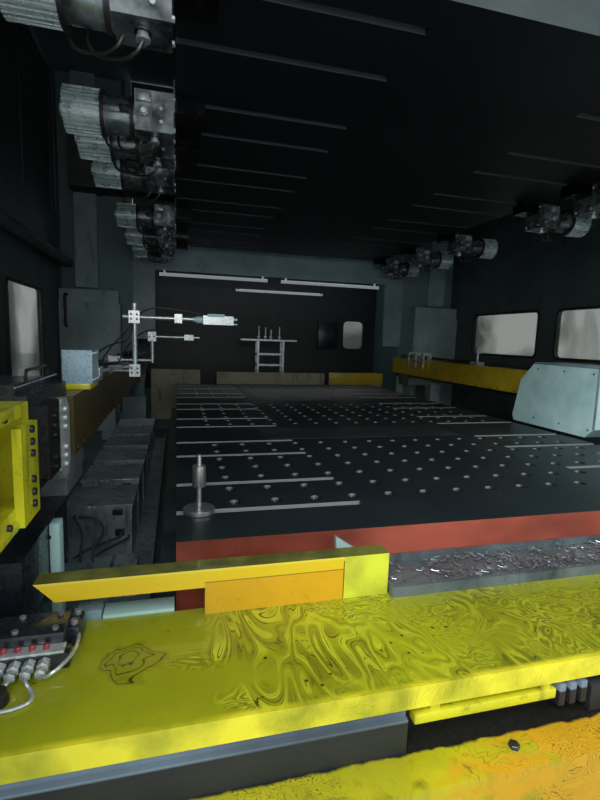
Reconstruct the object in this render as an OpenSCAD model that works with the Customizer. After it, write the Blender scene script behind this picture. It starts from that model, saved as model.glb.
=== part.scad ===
// Straight-side transfer press: bed, four columns and crown around a die space, with a
// slide above the bolster, two feed bars that lift, clamp and feed, and rising side doors.
// The origin is on the floor under the middle of the press. +Y is the feed direction.

/* [Frame] */
// Overall width of the frame, across the feed direction
frame_w = 5280; // [5000:10:5600]
// Overall length of the frame, along the feed direction
frame_l = 6850; // [6600:10:7200]
// Width of one column
column_w = 890; // [700:10:1000]
// Length of one column
column_l = 900; // [700:10:1000]
// Height of the low part of the bed
base_h = 330; // [250:5:400]
// Height of the bed's bolster seat and column pads
bed_h = 600; // [500:5:700]
// Height of the columns above their pads
column_h = 3700; // [3500:10:4200]
// Height of the crown
crown_h = 2100; // [1600:10:2600]
// Depth of the weldment pockets in the outer faces
pocket_d = 45; // [20:1:80]
// Width of the ribs between the pockets
rib_w = 130; // [80:5:200]

/* [Anchor feet] */
// Reach of a foot beyond the frame
foot_reach = 250; // [200:5:350]
// Length of a foot along the frame
foot_l = 500; // [300:10:700]
// Thickness of a foot
foot_t = 80; // [50:1:120]
// Distance between the two anchor bolts on one side
foot_pitch = 6000; // [5000:10:6300]
// Diameter of an anchor hole
anchor_d = 60; // [40:1:80]

/* [Tie rods] */
// Diameter of a tie rod
rod_d = 180; // [120:1:220]
// Width across the flats of a tie rod nut
rod_nut_w = 320; // [240:1:400]
// Height of a tie rod nut
rod_nut_h = 160; // [100:1:220]
// Radial clearance round a tie rod
rod_gap = 10; // [5:1:20]
// Length of thread that stands above the top nut
rod_stub = 120; // [40:1:200]

/* [Bolster] */
// Width of the bolster
bolster_w = 2500; // [2300:10:2560]
// Length of the bolster
bolster_l = 4500; // [4300:10:4600]
// Thickness of the bolster
bolster_t = 300; // [200:5:400]
// Distance from the near end to the first T-slot
first_slot = 225; // [200:1:260]
// Length of a T-slot from the edge of the bolster
slot_l = 650; // [400:10:800]
// Width of a T-slot's throat
slot_w = 36; // [22:1:42]
// Depth of a T-slot's throat
slot_throat = 45; // [30:1:60]
// Width of a T-slot's head
slot_head_w = 60; // [45:1:75]
// Height of a T-slot's head
slot_head_h = 30; // [20:1:40]
// Distance between two pairs of T-slots
pair_pitch = 750; // [600:10:900]
// Distance between the two T-slots of a pair
slot_gap = 300; // [200:10:400]
// Diameter of a pin hole
pin_d = 50; // [30:1:56]
// Distance between two pin holes
pin_pitch = 150; // [140:1:200]

/* [Slide] */
// Height of the die space above the bolster, with the slide up
daylight = 1592; // [1300:1:1700]
// Stroke of the slide
stroke = 800; // [400:10:900]
// Length of the slide
slide_l = 4350; // [4250:10:4400]
// Height of the slide
slide_h = 1500; // [1200:10:1600]
// Length of a T-slot from the edge of the slide
slide_slot_l = 800; // [650:10:1000]
// Height of the guide ears
ear_h = 900; // [600:10:1100]
// Thickness of a guide ear behind its liner
ear_t = 260; // [180:10:300]
// Diameter of a plunger
plunger_d = 360; // [250:1:420]
// Length of a plunger above the slide
plunger_l = 1700; // [1200:10:1900]
// Running gap at the guides and plungers
run_gap = 0.3; // [0.2:0.05:0.6]

/* [Gib rails] */
// Width of a gib rail
gib_w = 240; // [160:5:280]
// Thickness of a gib rail
gib_t = 75; // [50:1:90]
// Distance from a column's inner face to a gib rail
gib_x = 380; // [360:5:450]

/* [Travelling die clamps] */
// Height of a clamp's axis below the slide
clamp_drop = 94; // [90:1:110]
// Diameter of the finned motor
motor_d = 180; // [120:1:184]
// Length of the finned motor
motor_l = 148; // [120:1:200]
// Length of the smooth drive tube
drive_tube_l = 130; // [80:1:160]
// Diameter of the smooth drive tube
drive_tube_d = 150; // [100:1:170]
// Length of the gearbox
gearbox_l = 150; // [100:1:180]
// Width of the gearbox
gearbox_w = 150; // [100:1:170]
// Number of fins round a motor
fins = 30; // [16:1:40]
// Length of the jaw under the slide
jaw_l = 120; // [80:1:200]
// Travel of the die clamps along their slots
clamp_travel = 500; // [200:10:520]

/* [Feed bars] */
// Distance from a column's inner face to a feed bar
bar_offset = 40; // [20:1:80]
// Width of a feed bar
bar_w = 140; // [100:1:150]
// Height of a feed bar
bar_h = 195; // [150:1:260]
// Height of the bar's underside above the bolster
bar_z = 180; // [170:1:220]
// Wall of the bar tube
bar_wall = 14; // [8:1:25]
// Distance from the near columns to the bar tube
bar_y0 = 600; // [580:1:660]
// Length of the bar tube
bar_l = 4200; // [4000:10:4300]
// Height of the guide rail under the bar
bar_rail_h = 30; // [20:1:30]
// Lift of the bars
lift_travel = 250; // [100:10:300]
// Clamp travel of the bars
bar_clamp_travel = 350; // [200:10:380]
// Feed travel of the bars, each way
feed_travel = 375; // [300:5:380]

/* [Doors] */
// Thickness of a door
door_t = 40; // [30:1:44]
// Lowest point of a door
door_z = 350; // [335:5:500]
// Height of a door
door_h = 2400; // [2200:10:2420]
// Travel of a door
door_travel = 1500; // [1000:10:1500]
// Length of a window in the right door
right_window_l = 1155; // [900:5:1180]
// Height of a window in the right door
right_window_h = 500; // [300:5:700]
// Sill of the right windows above the bolster
right_window_z = 465; // [200:5:600]
// Length of a window in the left door
left_window_l = 1010; // [900:5:1180]
// Height of a window in the left door
left_window_h = 880; // [500:5:1000]
// Sill of the left windows above the bolster
left_window_z = 105; // [50:5:300]
// Width of the mullion between two windows
mullion_w = 260; // [200:5:400]
// Corner radius of a window
window_r = 70; // [30:1:100]
// Thickness of the glass
glass_t = 10; // [6:1:16]

/* [Infeed beams] */
// Height of the top plate of the upper beam, below the bolster top
beam_drop = 120; // [100:1:160]
// Thickness of the top plate
beam_plate_t = 50; // [30:1:55]
// Depth of the top plate along the feed direction
beam_plate_l = 375; // [300:5:400]
// Drop of the lower beam's ledge below the bolster top
ledge_drop = 270; // [240:1:300]
// Width of the ledge in front of the guide rail
ledge_w = 75; // [40:1:100]
// Height of the guide rail
guide_h = 77; // [50:1:77]
// Thickness of the guide rail
guide_t = 40; // [20:1:60]

/* [Deck railing] */
// Height of the railing above the deck
railing_h = 1100; // [900:10:1200]
// Diameter of a rail
rail_d = 34; // [25:1:48]
// Width of a square railing post
rail_post_w = 50; // [40:1:60]
// Distance of the railing from the edge of the deck
rail_inset = 80; // [60:5:200]
// Largest distance between two posts
rail_bay = 750; // [500:10:1000]
// Height of the toe board
toe_h = 100; // [80:5:150]

/* [Drive] */
// Diameter of the flywheel
flywheel_d = 1500; // [1200:10:1700]
// Width of the flywheel rim
flywheel_w = 300; // [200:5:360]
// Diameter of the motor pulley
pulley_d = 375; // [300:5:450]
// Diameter of the flywheel shaft
shaft_d = 160; // [120:1:200]
// Distance between the flywheel and the motor pulley
belt_centres = 1500; // [1300:10:1800]
// Number of belts
belts = 6; // [3:1:8]

/* [Hidden] */
$fn = 48;
seat = 0.3;
half_w = frame_w / 2;
half_l = frame_l / 2;
column_in = half_w - column_w;
column_y = half_l - column_l;
column_top = bed_h + column_h;
crown_top = column_top + crown_h;
bolster_top = bed_h + bolster_t;
slide_z = bolster_top + daylight;
slide_top = slide_z + slide_h;
rod_x = column_in + column_w / 2;
rod_y = column_y + column_l / 2;
rod_sink = 200;
slot_depth = slot_throat + slot_head_h;
gib_in = column_in + gib_x;
door_x = half_w - 100;
// Places in the bolster's own frame: its middle, the column faces and the aisles beside it
mid_x = bolster_w / 2;
mid_y = bolster_l / 2 - first_slot;
near_face = mid_y - column_y;
far_face = mid_y + column_y;
col_gap = column_in - mid_x;
door_gap = door_x - mid_x;
// T-slot rows, measured from the first one
pairs = floor((bolster_l - 2 * first_slot - slot_gap) / pair_pitch);
slot_rows = [for (i = [0 : pairs], k = [0, 1]) i * pair_pitch + k * slot_gap];
slide_rows = [for (y = slot_rows) if (abs(y - mid_y) < slide_l / 2 - slot_head_w) y];
clamp_rows = [for (i = [0, 2, 3, 4, 7, 9, 11]) if (i < len(slide_rows)) slide_rows[i]];
// Solid webs of the bolster, in the field beyond these pairs of T-slots
webs = [1, 3];
plungers_x = 0.3 * bolster_w;
plungers_y = 0.3 * bolster_l;
bar_x0 = bar_offset - col_gap;
bar_x1 = bar_x0 + bar_w;
bar_start = near_face + bar_y0;
bar_y1 = bar_start + bar_l;
end_l = 410;
end_y = bar_start - end_l;
casting_l = 330;
flange_l = 120;
beam_y0 = -first_slot - 520;
beam_y1 = beam_y0 + beam_plate_l;
lamp_d = 40;

// A block from its lowest to its highest corner
module block(low, high) { translate(low) cube(high - low); }

// Places children in the bolster's own frame: left edge, first T-slot row, top face
module on_bolster() {
    translate([-bolster_w / 2, first_slot - bolster_l / 2, bolster_top]) children();
}

// Children and their mirror image on the right of the press
module mirrored_right() { mirror([1, 0, 0]) children(); }

module four_corners(x, y) {
    for (sx = [-1, 1], sy = [-1, 1]) translate([sx * x, sy * y, 0]) children();
}

// A row of pockets sunk into the face x = 0, along y
module pocket_row(length, height, count) {
    pitch = (length - rib_w) / count;
    for (i = [0 : count - 1])
        translate([-pocket_d, -length / 2 + rib_w + i * pitch, rib_w])
            cube([2 * pocket_d, pitch - rib_w, height - 2 * rib_w]);
}

// Bed: low base, bolster seat, column pads and anchor feet
module bed() {
    color("DarkSlateGray") difference() {
        union() {
            block([-half_w, -half_l, 0], [half_w, half_l, base_h]);
            block([-bolster_w / 2 - 60, -bolster_l / 2 - 60, base_h - 1],
                [bolster_w / 2 + 60, bolster_l / 2 + 60, bed_h]);
            four_corners(rod_x, rod_y)
                block([-column_w / 2, -column_l / 2, base_h - 1], [column_w / 2, column_l / 2, bed_h]);
            for (sx = [-1, 1], sy = [-1, 1])
                scale([sx, sy, 1]) block([half_w - 1, foot_pitch / 2 - foot_l / 2, 0],
                    [half_w + foot_reach, foot_pitch / 2 + foot_l / 2, foot_t]);
        }
        for (sx = [-1, 1], sy = [-1, 1])
            translate([sx * (half_w + foot_reach / 2), sy * foot_pitch / 2, -1])
                cylinder(d = anchor_d, h = foot_t + 2);
        four_corners(rod_x, rod_y) {
            translate([0, 0, -1]) cylinder(d = rod_d + 2 * rod_gap, h = bed_h + 2);
            translate([0, 0, -1]) cylinder(d = rod_nut_w * 1.3, h = rod_sink + 1);
        }
        for (side = [0, 180]) rotate(side) translate([half_w, 0, 0])
            pocket_row(foot_pitch - foot_l - rib_w, base_h, 5);
    }
}

// Column: box with a tie rod bore and pockets on its two outer faces
module upright(sx, sy) {
    color("#7d8c86") translate([sx * rod_x, sy * rod_y, bed_h]) difference() {
        translate([-column_w / 2, -column_l / 2, 0]) cube([column_w, column_l, column_h]);
        translate([0, 0, -1]) cylinder(d = rod_d + 2 * rod_gap, h = column_h + 2);
        scale([sx, sy, 1]) {
            translate([column_w / 2, 0, 0]) pocket_row(column_l, column_h, 1);
            rotate(90) translate([column_l / 2, 0, 0]) pocket_row(column_w, column_h, 1);
        }
    }
}
module upright_near_left() { upright(-1, -1); }
module upright_near_right() { upright(1, -1); }
module upright_far_left() { upright(-1, 1); }
module upright_far_right() { upright(1, 1); }

// Bearing cheeks that carry the flywheel shaft on the crown
flywheel_x = 1140 - half_w;
flywheel_y = 700;
cheek_t = 160;
cheek_gap = 60;
shaft_z = flywheel_d / 2 + 120;
module flywheel_cheek() {
    rotate([90, 0, 90]) linear_extrude(cheek_t, center = true) difference() {
        union() {
            polygon([[-450, 0], [450, 0], [shaft_d, shaft_z], [-shaft_d, shaft_z]]);
            translate([0, shaft_z]) circle(d = 2 * shaft_d);
        }
        translate([0, shaft_z]) circle(d = shaft_d + 0.1);
    }
}

module flywheel_bearings() {
    color("#8c9a93") for (side = [-1, 1])
        translate([flywheel_x + side * (flywheel_w + cheek_t + 2 * cheek_gap) / 2, flywheel_y, crown_top])
            flywheel_cheek();
}

// Railing panel along x: square posts, two round rails and a toe board
module railing_panel(length) {
    bays = ceil(length / rail_bay);
    for (i = [0 : bays])
        translate([(i / bays - 0.5) * (length - rail_post_w) - rail_post_w / 2, -rail_post_w / 2, 0])
            cube([rail_post_w, rail_post_w, railing_h + rail_d]);
    for (z = [railing_h / 2, railing_h])
        translate([-length / 2 + 1, 0, z]) rotate([0, 90, 0]) cylinder(d = rail_d, h = length - 2, $fn = 16);
    translate([-length / 2 + 1, -6, 0]) cube([length - 2, 12, toe_h]);
}
module deck_railing() {
    rx = half_w - rail_inset;
    ry = half_l - rail_inset;
    color("#e0b010") translate([0, 0, crown_top]) for (side = [-1, 1]) {
        translate([0, side * ry, 0]) railing_panel(2 * rx);
        translate([side * rx, 0, 0]) rotate(90) railing_panel(2 * ry - 2 * rail_post_w);
    }
}

// Crown: closed housing over the columns, with plunger bores below
module crown() {
    color("#8c9a93") difference() {
        block([-half_w, -half_l, column_top], [half_w, half_l, crown_top]);
        four_corners(rod_x, rod_y) translate([0, 0, column_top - 1])
            cylinder(d = rod_d + 2 * rod_gap, h = crown_h + 2);
        four_corners(plungers_x, plungers_y) translate([0, 0, column_top - 1])
            cylinder(d = plunger_d + 2 * run_gap, h = plunger_l - 100);
        for (side = [0, 180]) rotate(side) translate([half_w, 0, column_top])
            pocket_row(frame_l, crown_h, 5);
        for (side = [90, 270]) rotate(side) translate([half_l, 0, column_top])
            pocket_row(frame_w, crown_h, 4);
    }
}

// Tie rods with a hexagon nut at each end
module rod_nut() {
    linear_extrude(rod_nut_h) difference() {
        circle(d = rod_nut_w / cos(30), $fn = 6);
        circle(d = rod_d + 2 * seat);
    }
}
module tie_rods() {
    color("#a0a4a8") four_corners(rod_x, rod_y) {
        translate([0, 0, rod_sink - rod_nut_h - 20])
            cylinder(d = rod_d, h = crown_top + rod_nut_h + rod_stub - rod_sink + rod_nut_h + 20);
        translate([0, 0, rod_sink - rod_nut_h]) rod_nut();
        translate([0, 0, crown_top]) rod_nut();
    }
}

// Gib rails on the inner faces of the columns, above the lift units
gib_z = bolster_top + 1090;
module gib_rails() {
    color("#b9c4c0") for (sx = [-1, 1], sy = [-1, 1]) scale([sx, sy, 1])
        block([gib_in, column_y - gib_t, gib_z], [gib_in + gib_w, column_y, column_top - 5]);
}

// A T-slot that opens upward, from x = 0 inward
module t_slot(length) {
    translate([-1, -slot_w / 2, -slot_throat - 1]) cube([length + 1, slot_w, slot_throat + 2]);
    translate([-1, -slot_head_w / 2, -slot_depth]) cube([length + 1, slot_head_w, slot_head_h]);
}

// T-slots from both long edges, at each row
module t_slots(length, rows) {
    for (y = rows) translate([0, y, 0]) {
        t_slot(length);
        translate([bolster_w, 0, 0]) mirror([1, 0, 0]) t_slot(length);
    }
}

// True where a row of pins would meet a solid web
function on_web(y) = len([for (i = webs)
    if (y > i * pair_pitch + slot_gap && y < (i + 1) * pair_pitch) i]) > 0;

// Bolster: plate with edge T-slots and three fields of pin holes
module bolster() {
    columns = floor((mid_x - 190) / pin_pitch);
    rows = [for (y = [pin_pitch / 2 : pin_pitch : bolster_l - first_slot - 290]) if (!on_web(y)) y];
    color("#4a4e52") on_bolster() difference() {
        block([0, -first_slot, -bolster_t], [bolster_w, bolster_l - first_slot, 0]);
        t_slots(slot_l, slot_rows);
        for (i = [-columns : columns], y = rows)
            translate([mid_x + i * pin_pitch, y, -bolster_t - 1])
                cylinder(d = pin_d, h = bolster_t + 2, $fn = 24);
    }
}

// Frame round the far window: a tie beam on two short legs, clear above the feed bars
leg_w = 250;
frame_t = 50;
tie_z0 = 1350;
tie_z1 = 1750;
leg_z = 520;
frame_lip = gib_t - frame_t - 3;
frame_y = max(far_face, mid_y + slide_l / 2 + frame_t + frame_lip + 10);
module far_window_frame() {
    color("#8fa3ab") on_bolster() {
        y0 = frame_y;
        x0 = -col_gap;
        difference() {
            block([x0 + seat, y0 - frame_t, leg_z],
                [bolster_w - x0 - seat, y0, tie_z1]);
            block([x0 + leg_w, y0 - frame_t - 1, leg_z - 1],
                [bolster_w - x0 - leg_w, y0 + 1, tie_z0]);
        }
        block([x0 + leg_w, y0 - frame_t - frame_lip, tie_z0 + 60],
            [bolster_w - x0 - leg_w, y0 - frame_t + 1, tie_z0 + 90]);
    }
}

// Upper infeed beam: greasy top plate on a box web, between the near columns
module infeed_beam() {
    x0 = 5 - col_gap;
    color("#b5b81e") on_bolster() {
        block([x0, beam_y0, -beam_drop - beam_plate_t],
            [bolster_w - x0, beam_y1, -beam_drop]);
        block([x0, beam_y0 + 60, -ledge_drop],
            [bolster_w - x0, beam_y1 - 40, -beam_drop - beam_plate_t + 1]);
    }
}

// Lower infeed beam: box on the bed with a ledge in front of the guide rail
module infeed_lower_beam() {
    x0 = 5 - col_gap;
    color("#c9a516") on_bolster() difference() {
        block([x0, beam_y0 - ledge_w - 10, base_h - bolster_top],
            [bolster_w - x0, beam_y1 - 40, -ledge_drop]);
        for (i = [-2 : 2]) translate([mid_x + i * 640 - 220, beam_y0 - ledge_w - 11, -520])
            cube([440, 60, 140]);
    }
}

// Guide rail along the front of the infeed beam, left part only
guide_x1 = 965 - col_gap;
module infeed_guide_rail() {
    x0 = 5 - col_gap;
    color("#8a9096") on_bolster() {
        block([x0, beam_y0, -ledge_drop], [guide_x1, beam_y0 + guide_t, -ledge_drop + guide_h]);
        block([x0, beam_y0 + 12, -ledge_drop + guide_h - 1],
            [guide_x1, beam_y0 + guide_t, -ledge_drop + guide_h + 15]);
    }
}

// Guard bar across the infeed, with a cut-away left part, a tapered tip and an end block
bar_tip_x = 181 - col_gap;
bar_step_x = bar_tip_x + 390;
bar_end_x = bar_tip_x + 892;
guard_y = beam_y1 - 30;
guard_t = 55;
module guard_bar() {
    color("#e0b010") on_bolster() translate([0, guard_y + guard_t, 0]) rotate([90, 0, 0])
        linear_extrude(guard_t) difference() {
            polygon([[bar_tip_x, 0], [bar_end_x, 0], [bar_end_x, -beam_drop], [bar_step_x, -beam_drop],
                [bar_step_x, -48], [bar_tip_x + 45, -48]]);
            translate([bar_end_x - 133, -beam_drop - 1]) square([3, beam_drop - 10]);
        }
}

// Chip tray at the end of the bolster, with a raised near lip
tray_y0 = beam_y1 - 55;
tray_lip = 22;
module chip_tray() {
    x1 = bolster_w + col_gap - 160;
    color("#5f6a6e") on_bolster() difference() {
        block([bar_end_x + 5, tray_y0, -beam_drop], [x1, -first_slot - 2, -beam_drop + tray_lip + 8]);
        block([bar_end_x + 15, tray_y0 + 12, -beam_drop + 8], [x1 - 10, -first_slot - 14, 1]);
    }
}

// Outfeed beam under the far window
out_y = max(bolster_l - first_slot + 145, far_face - 130);
module outfeed_beam() {
    x0 = 5 - col_gap;
    color("#5a6468") on_bolster() difference() {
        block([x0, out_y, base_h - bolster_top], [bolster_w - x0, out_y + 480, -beam_drop]);
        for (i = [-2 : 2]) translate([mid_x + i * 640 - 220, out_y + 430, -480]) cube([440, 60, 260]);
    }
}

// Drive box in front of the outfeed beam, bolted, with a stepped right end
drive_x0 = 205 - col_gap;
drive_x1 = drive_x0 + 575;
drive_step_x = drive_x0 + 305;
drive_z = 165;
module outfeed_drive_box() {
    color("#b3a98c") on_bolster() difference() {
        union() {
            block([drive_x0, out_y - 70, -440], [drive_step_x, out_y, drive_z]);
            block([drive_step_x - 1, out_y - 70, -25], [drive_x1, out_y, drive_z]);
        }
        for (x = [drive_x0 + 40, drive_step_x - 40], z = [-380 : 120 : 100])
            translate([x, out_y - 69, z]) rotate([90, 0, 0]) cylinder(d = 26, h = 20, $fn = 24);
    }
}

// Two fascia plates beside the drive box
module outfeed_panels() {
    color("#7f8f93") on_bolster() {
        block([mid_x - 765, out_y - 40, -beam_drop - 120], [mid_x + 635, out_y, 140]);
        block([mid_x + 700, out_y - 40, -beam_drop - 120], [bolster_w + col_gap - 285, out_y, 150]);
    }
}

// Stand for finished parts in the far window: two trestles under a long cross bar
stand_tube = 26;
module part_stand() {
    y0 = out_y + 300;
    x0 = mid_x - 209;
    x1 = mid_x + 134;
    color("Silver") on_bolster() {
        for (x = [x0, x1]) {
            block([x, y0, -beam_drop], [x + stand_tube, y0 + stand_tube, 538]);
            block([x, y0 + 150, -beam_drop], [x + stand_tube, y0 + 150 + stand_tube, 538]);
            for (z = [205, 350]) block([x, y0 + stand_tube, z], [x + stand_tube, y0 + 150, z + stand_tube]);
        }
        for (z = [205, 350]) block([x0 + stand_tube, y0, z], [x1, y0 + stand_tube, z + stand_tube]);
        block([x0 - 207, y0, 538], [x1 + 197, y0 + stand_tube, 560]);
        block([x0 - 207, y0 + 150, 538], [x1 + 197, y0 + 150 + stand_tube, 560]);
        for (peg = [[19, 172], [109, 158], [184, 130], [299, 172]])
            translate([x0 + peg[0], y0 + stand_tube / 2, 560 - 1]) cylinder(d = 22, h = peg[1]);
    }
}

// Fixed part of a lift unit at the far end: cover box with a separate looking top
cover_x0 = 10 - door_gap;
cover_x1 = -130 - col_gap;
cover_step = 907;
cover_top = 1060;
module far_lift_unit() {
    y1 = far_face;
    on_bolster() {
        block([cover_x0, y1 - 200, base_h - bolster_top], [cover_x1, y1, cover_step]);
        block([cover_x0, y1 - 170, cover_step - 1], [cover_x1 - 20, y1, cover_top]);
        block([lift_x0, far_lift_y - 60, base_h - bolster_top], [lift_x0 + lift_t, y1 - 199, 60]);
        block([lift_x0 + lift_t - 1, far_lift_y + lift_l + 15, base_h - bolster_top],
            [bar_x1 - 30, y1 - 200, -142]);
        translate([bar_x0 + 30, y1 - 285, -143]) cylinder(d = 130, h = 270);
    }
}

// Column that guides a lift slide, on the far side of the feed bar
lift_x0 = bar_x0 - 320;
lift_t = 139;
near_lift_y = near_face + 620;
far_lift_y = far_face - 650;
lift_l = 260;
module near_lift_unit() {
    y0 = max(near_face, beam_y1) + 5;
    on_bolster() {
        block([lift_x0, near_face + 5, base_h - bolster_top],
            [lift_x0 + lift_t, near_lift_y + lift_l + 60, 60]);
        difference() {
            block([lift_x0 + lift_t - 1, y0, base_h - bolster_top], [bar_x1 - 30, near_lift_y - 15, 40]);
            translate([bar_x0 - 40, y0 - 1, -330]) rotate([0, 38, 0]) cube([400, near_lift_y - y0, 500]);
        }
    }
}
module lift_unit_near_left() { color("#3a4140") near_lift_unit(); }
module lift_unit_near_right() { color("#3a4140") mirrored_right() near_lift_unit(); }
module lift_unit_far_left() { color("#9aa8a8") far_lift_unit(); }
module lift_unit_far_right() { color("#9aa8a8") mirrored_right() far_lift_unit(); }

// Lift slides: an upright shoe on the lift unit and a shelf under the bar, near and far
module lift_slides() {
    shoe = lift_x0 + lift_t + seat;
    color("#51585a") on_bolster() for (y = [near_lift_y, far_lift_y]) {
        block([shoe, y, -300], [shoe + 40, y + lift_l, 90]);
        block([shoe + 39, y, 40], [bar_x1 - 30, y + lift_l, 90]);
    }
}
module left_lift_slides() { lift_slides(); }
module right_lift_slides() { mirrored_right() lift_slides(); }

// Clamp slides: blocks on the shelves that carry the bar's guide rail between two lips
module clamp_slides() {
    top = bar_z - bar_rail_h - seat;
    lip = bar_rail_h - 10;
    color("#6b7275") on_bolster() for (y = [near_lift_y, far_lift_y]) difference() {
        block([bar_x0 - 140, y, 90 + seat], [bar_x1 - 25, y + lift_l, top + lip]);
        block([bar_x0 + 10 - seat, y - 1, top], [bar_x1 - 40 + seat, y + lift_l + 1, top + lip + 1]);
    }
}
module left_clamp_slides() { clamp_slides(); }
module right_clamp_slides() { mirrored_right() clamp_slides(); }

// Feed bar: rectangular tube, open at both ends
module feed_bar() {
    on_bolster() difference() {
        block([bar_x0, bar_start, bar_z], [bar_x1, bar_y1, bar_z + bar_h]);
        block([bar_x0 + bar_wall, bar_start - 1, bar_z + bar_wall],
            [bar_x1 - bar_wall, bar_y1 + 1, bar_z + bar_h - bar_wall]);
    }
}
module left_bar() { color("#8a6f1c") feed_bar(); }
module right_bar() { color("#8a6f1c") mirrored_right() feed_bar(); }

// Black end of a feed bar, with the guide rail that runs under the whole bar
module bar_end() {
    top = bar_z + bar_h + 50;
    color("#1d2124") on_bolster() {
        block([bar_x0 - 10, end_y, bar_z - 8], [bar_x1 - 20, bar_start, top]);
        block([bar_x0 - 10, end_y, top - 1], [bar_x1 - 45, bar_start - 160, top + 28]);
        block([bar_x0 + 10, end_y, bar_z - bar_rail_h], [bar_x1 - 40, bar_y1, bar_z]);
        block([bar_x0 + bar_wall + seat, bar_start - 1, bar_z + bar_wall + seat],
            [bar_x1 - bar_wall - seat, bar_start + 120, bar_z + bar_h - bar_wall - seat]);
    }
}
module left_bar_end() { bar_end(); }
module right_bar_end() { mirrored_right() { bar_end(); bar_casting(); } }

// Yellow casting at the end of the bar: flange, pocketed body and a curved lower arm
module bar_casting() {
    x1 = bar_x1 - 18;
    z0 = bar_z - bar_rail_h;
    color("#d8c71a") on_bolster() {
        difference() {
            block([bar_x0 - 5, end_y - casting_l, z0], [x1, end_y, 415]);
            block([x1 - 75, end_y - casting_l + 40, z0 + 45], [x1 + 1, end_y - 40, 385]);
            translate([x1 - 100, end_y - casting_l / 2, 275]) rotate([0, -90, 0]) {
                translate([35, 0, 0]) cylinder(d = 90, h = 200, center = true);
                translate([-35, 0, 0]) cylinder(d = 90, h = 200, center = true);
                cube([70, 90, 200], center = true);
            }
        }
        block([x1 - 1, end_y - flange_l, z0], [bar_x1, end_y, 370]);
    }
}
module left_bar_casting() { bar_casting(); }

// Splice plates over the joint of the black end and the bar: a bevelled one and a plain one
splice_w = 125;
module splice_plate(y0, z0, z1, bevel) {
    translate([bar_x1 - 20, y0, 0]) rotate([90, 0, 90]) linear_extrude(20)
        polygon([[0, z0 + bevel], [bevel, z0], [splice_w - bevel, z0], [splice_w, z0 + bevel],
            [splice_w, z1 - bevel], [splice_w - bevel, z1], [bevel, z1], [0, z1 - bevel]]);
}
module left_splice_plates() {
    joint_y = bar_start - 186;
    color("#a9b4b4") on_bolster() {
        splice_plate(joint_y, bar_z - 32, bar_z + 205, 35);
        splice_plate(joint_y - splice_w - 1, bar_z + 10, bar_z + 212, 6);
        for (y = [joint_y + splice_w / 2, joint_y - splice_w / 2 - 1], z = [6, 33, 59, 121, 147, 173])
            translate([bar_x1 - 1, y, bar_z + max(z, y < joint_y ? 33 : 6)]) rotate([0, 90, 0])
                cylinder(d = 16, h = 8, $fn = 24);
    }
}

// Tooling on the left bar: a post with a gripper arm, and a second short arm
tool_y = bar_start + 800;
tool2_y = bar_start + 1600;
post_d = 22;
module tool_clamp() { cube([50, 50, 60], center = true); }
module left_tooling() {
    bar_top = bar_z + bar_h;
    color("#c8d4d8") on_bolster() {
        block([bar_x1 - 100, tool_y - 40, bar_top], [bar_x1 - 20, tool_y + 40, bar_top + 50]);
        for (y = [-18, 18]) translate([bar_x1 - 21, tool_y + y, bar_top + 62 - 35])
            rotate([0, 90, 0]) cylinder(d = 14, h = 121);
        translate([bar_x1 + 125, tool_y, bar_top + 28]) tool_clamp();
        translate([bar_x1 + 125, tool_y, bar_top + 25]) cylinder(d = post_d, h = 325);
        translate([bar_x1 + 125, tool_y, bar_top + 285]) tool_clamp();
        translate([bar_x1 + 72, tool_y, bar_top + 285]) rotate([0, 90, 0]) cylinder(d = 18, h = 380);
        translate([bar_x1 + 330, tool_y, bar_top + 285]) cube([36, 44, 44], center = true);
        block([bar_x1 + 450, tool_y - 22, bar_top + 262], [bar_x1 + 600, tool_y + 22, bar_top + 306]);
        block([bar_x1 - 100, tool2_y - 35, bar_top], [bar_x1 - 20, tool2_y + 35, bar_top + 60]);
        translate([bar_x1 - 21, tool2_y, bar_top + 35]) rotate([0, 90, 0]) cylinder(d = 20, h = 190);
        translate([bar_x1 + 168, tool2_y, bar_top + 20]) cylinder(d = post_d, h = 190);
        translate([bar_x1 + 168, tool2_y, bar_top + 190]) tool_clamp();
        translate([bar_x1 + 150, tool2_y, bar_top + 190]) rotate([0, 90, 0]) cylinder(d = 16, h = 320);
        translate([bar_x1 + 400, tool2_y, bar_top + 190]) cube([60, 36, 36], center = true);
    }
}

// Valve box on its yellow base plate, on the left bar
module left_valve_box() {
    bar_top = bar_z + bar_h;
    y0 = bar_start + 200;
    color("#8fb0bd") on_bolster() {
        block([bar_x1 - 82, y0 - 8, bar_top], [bar_x1 + 12, y0 + 170, bar_top + 22]);
        block([bar_x1 - 73, y0, bar_top + 21], [bar_x1 + 27, y0 + 140, bar_top + 140]);
        block([bar_x1 - 60, y0 + 139, bar_top + 30], [bar_x1 + 20, y0 + 162, bar_top + 125]);
    }
}

// Hood over the middle drive of the right bar: a plate box with cut corners
hood_y0 = bar_start + 740;
hood_y1 = hood_y0 + 750;
hood_x = 260;
hood_z0 = 8;
hood_z1 = 462;
module right_bar_hood() {
    color("#b9d8d8") on_bolster()
        translate([bolster_w - bar_x1 - hood_x, 0, 0]) rotate([90, 0, 90])
            linear_extrude(hood_x - seat)
                polygon([[hood_y0 + 60, hood_z0], [hood_y1 - 20, hood_z0], [hood_y1, hood_z0 + 40],
                    [hood_y1 - 60, 330], [hood_y1 - 190, hood_z1], [hood_y0, hood_z1],
                    [hood_y0, hood_z0 + 60]]);
}

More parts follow.
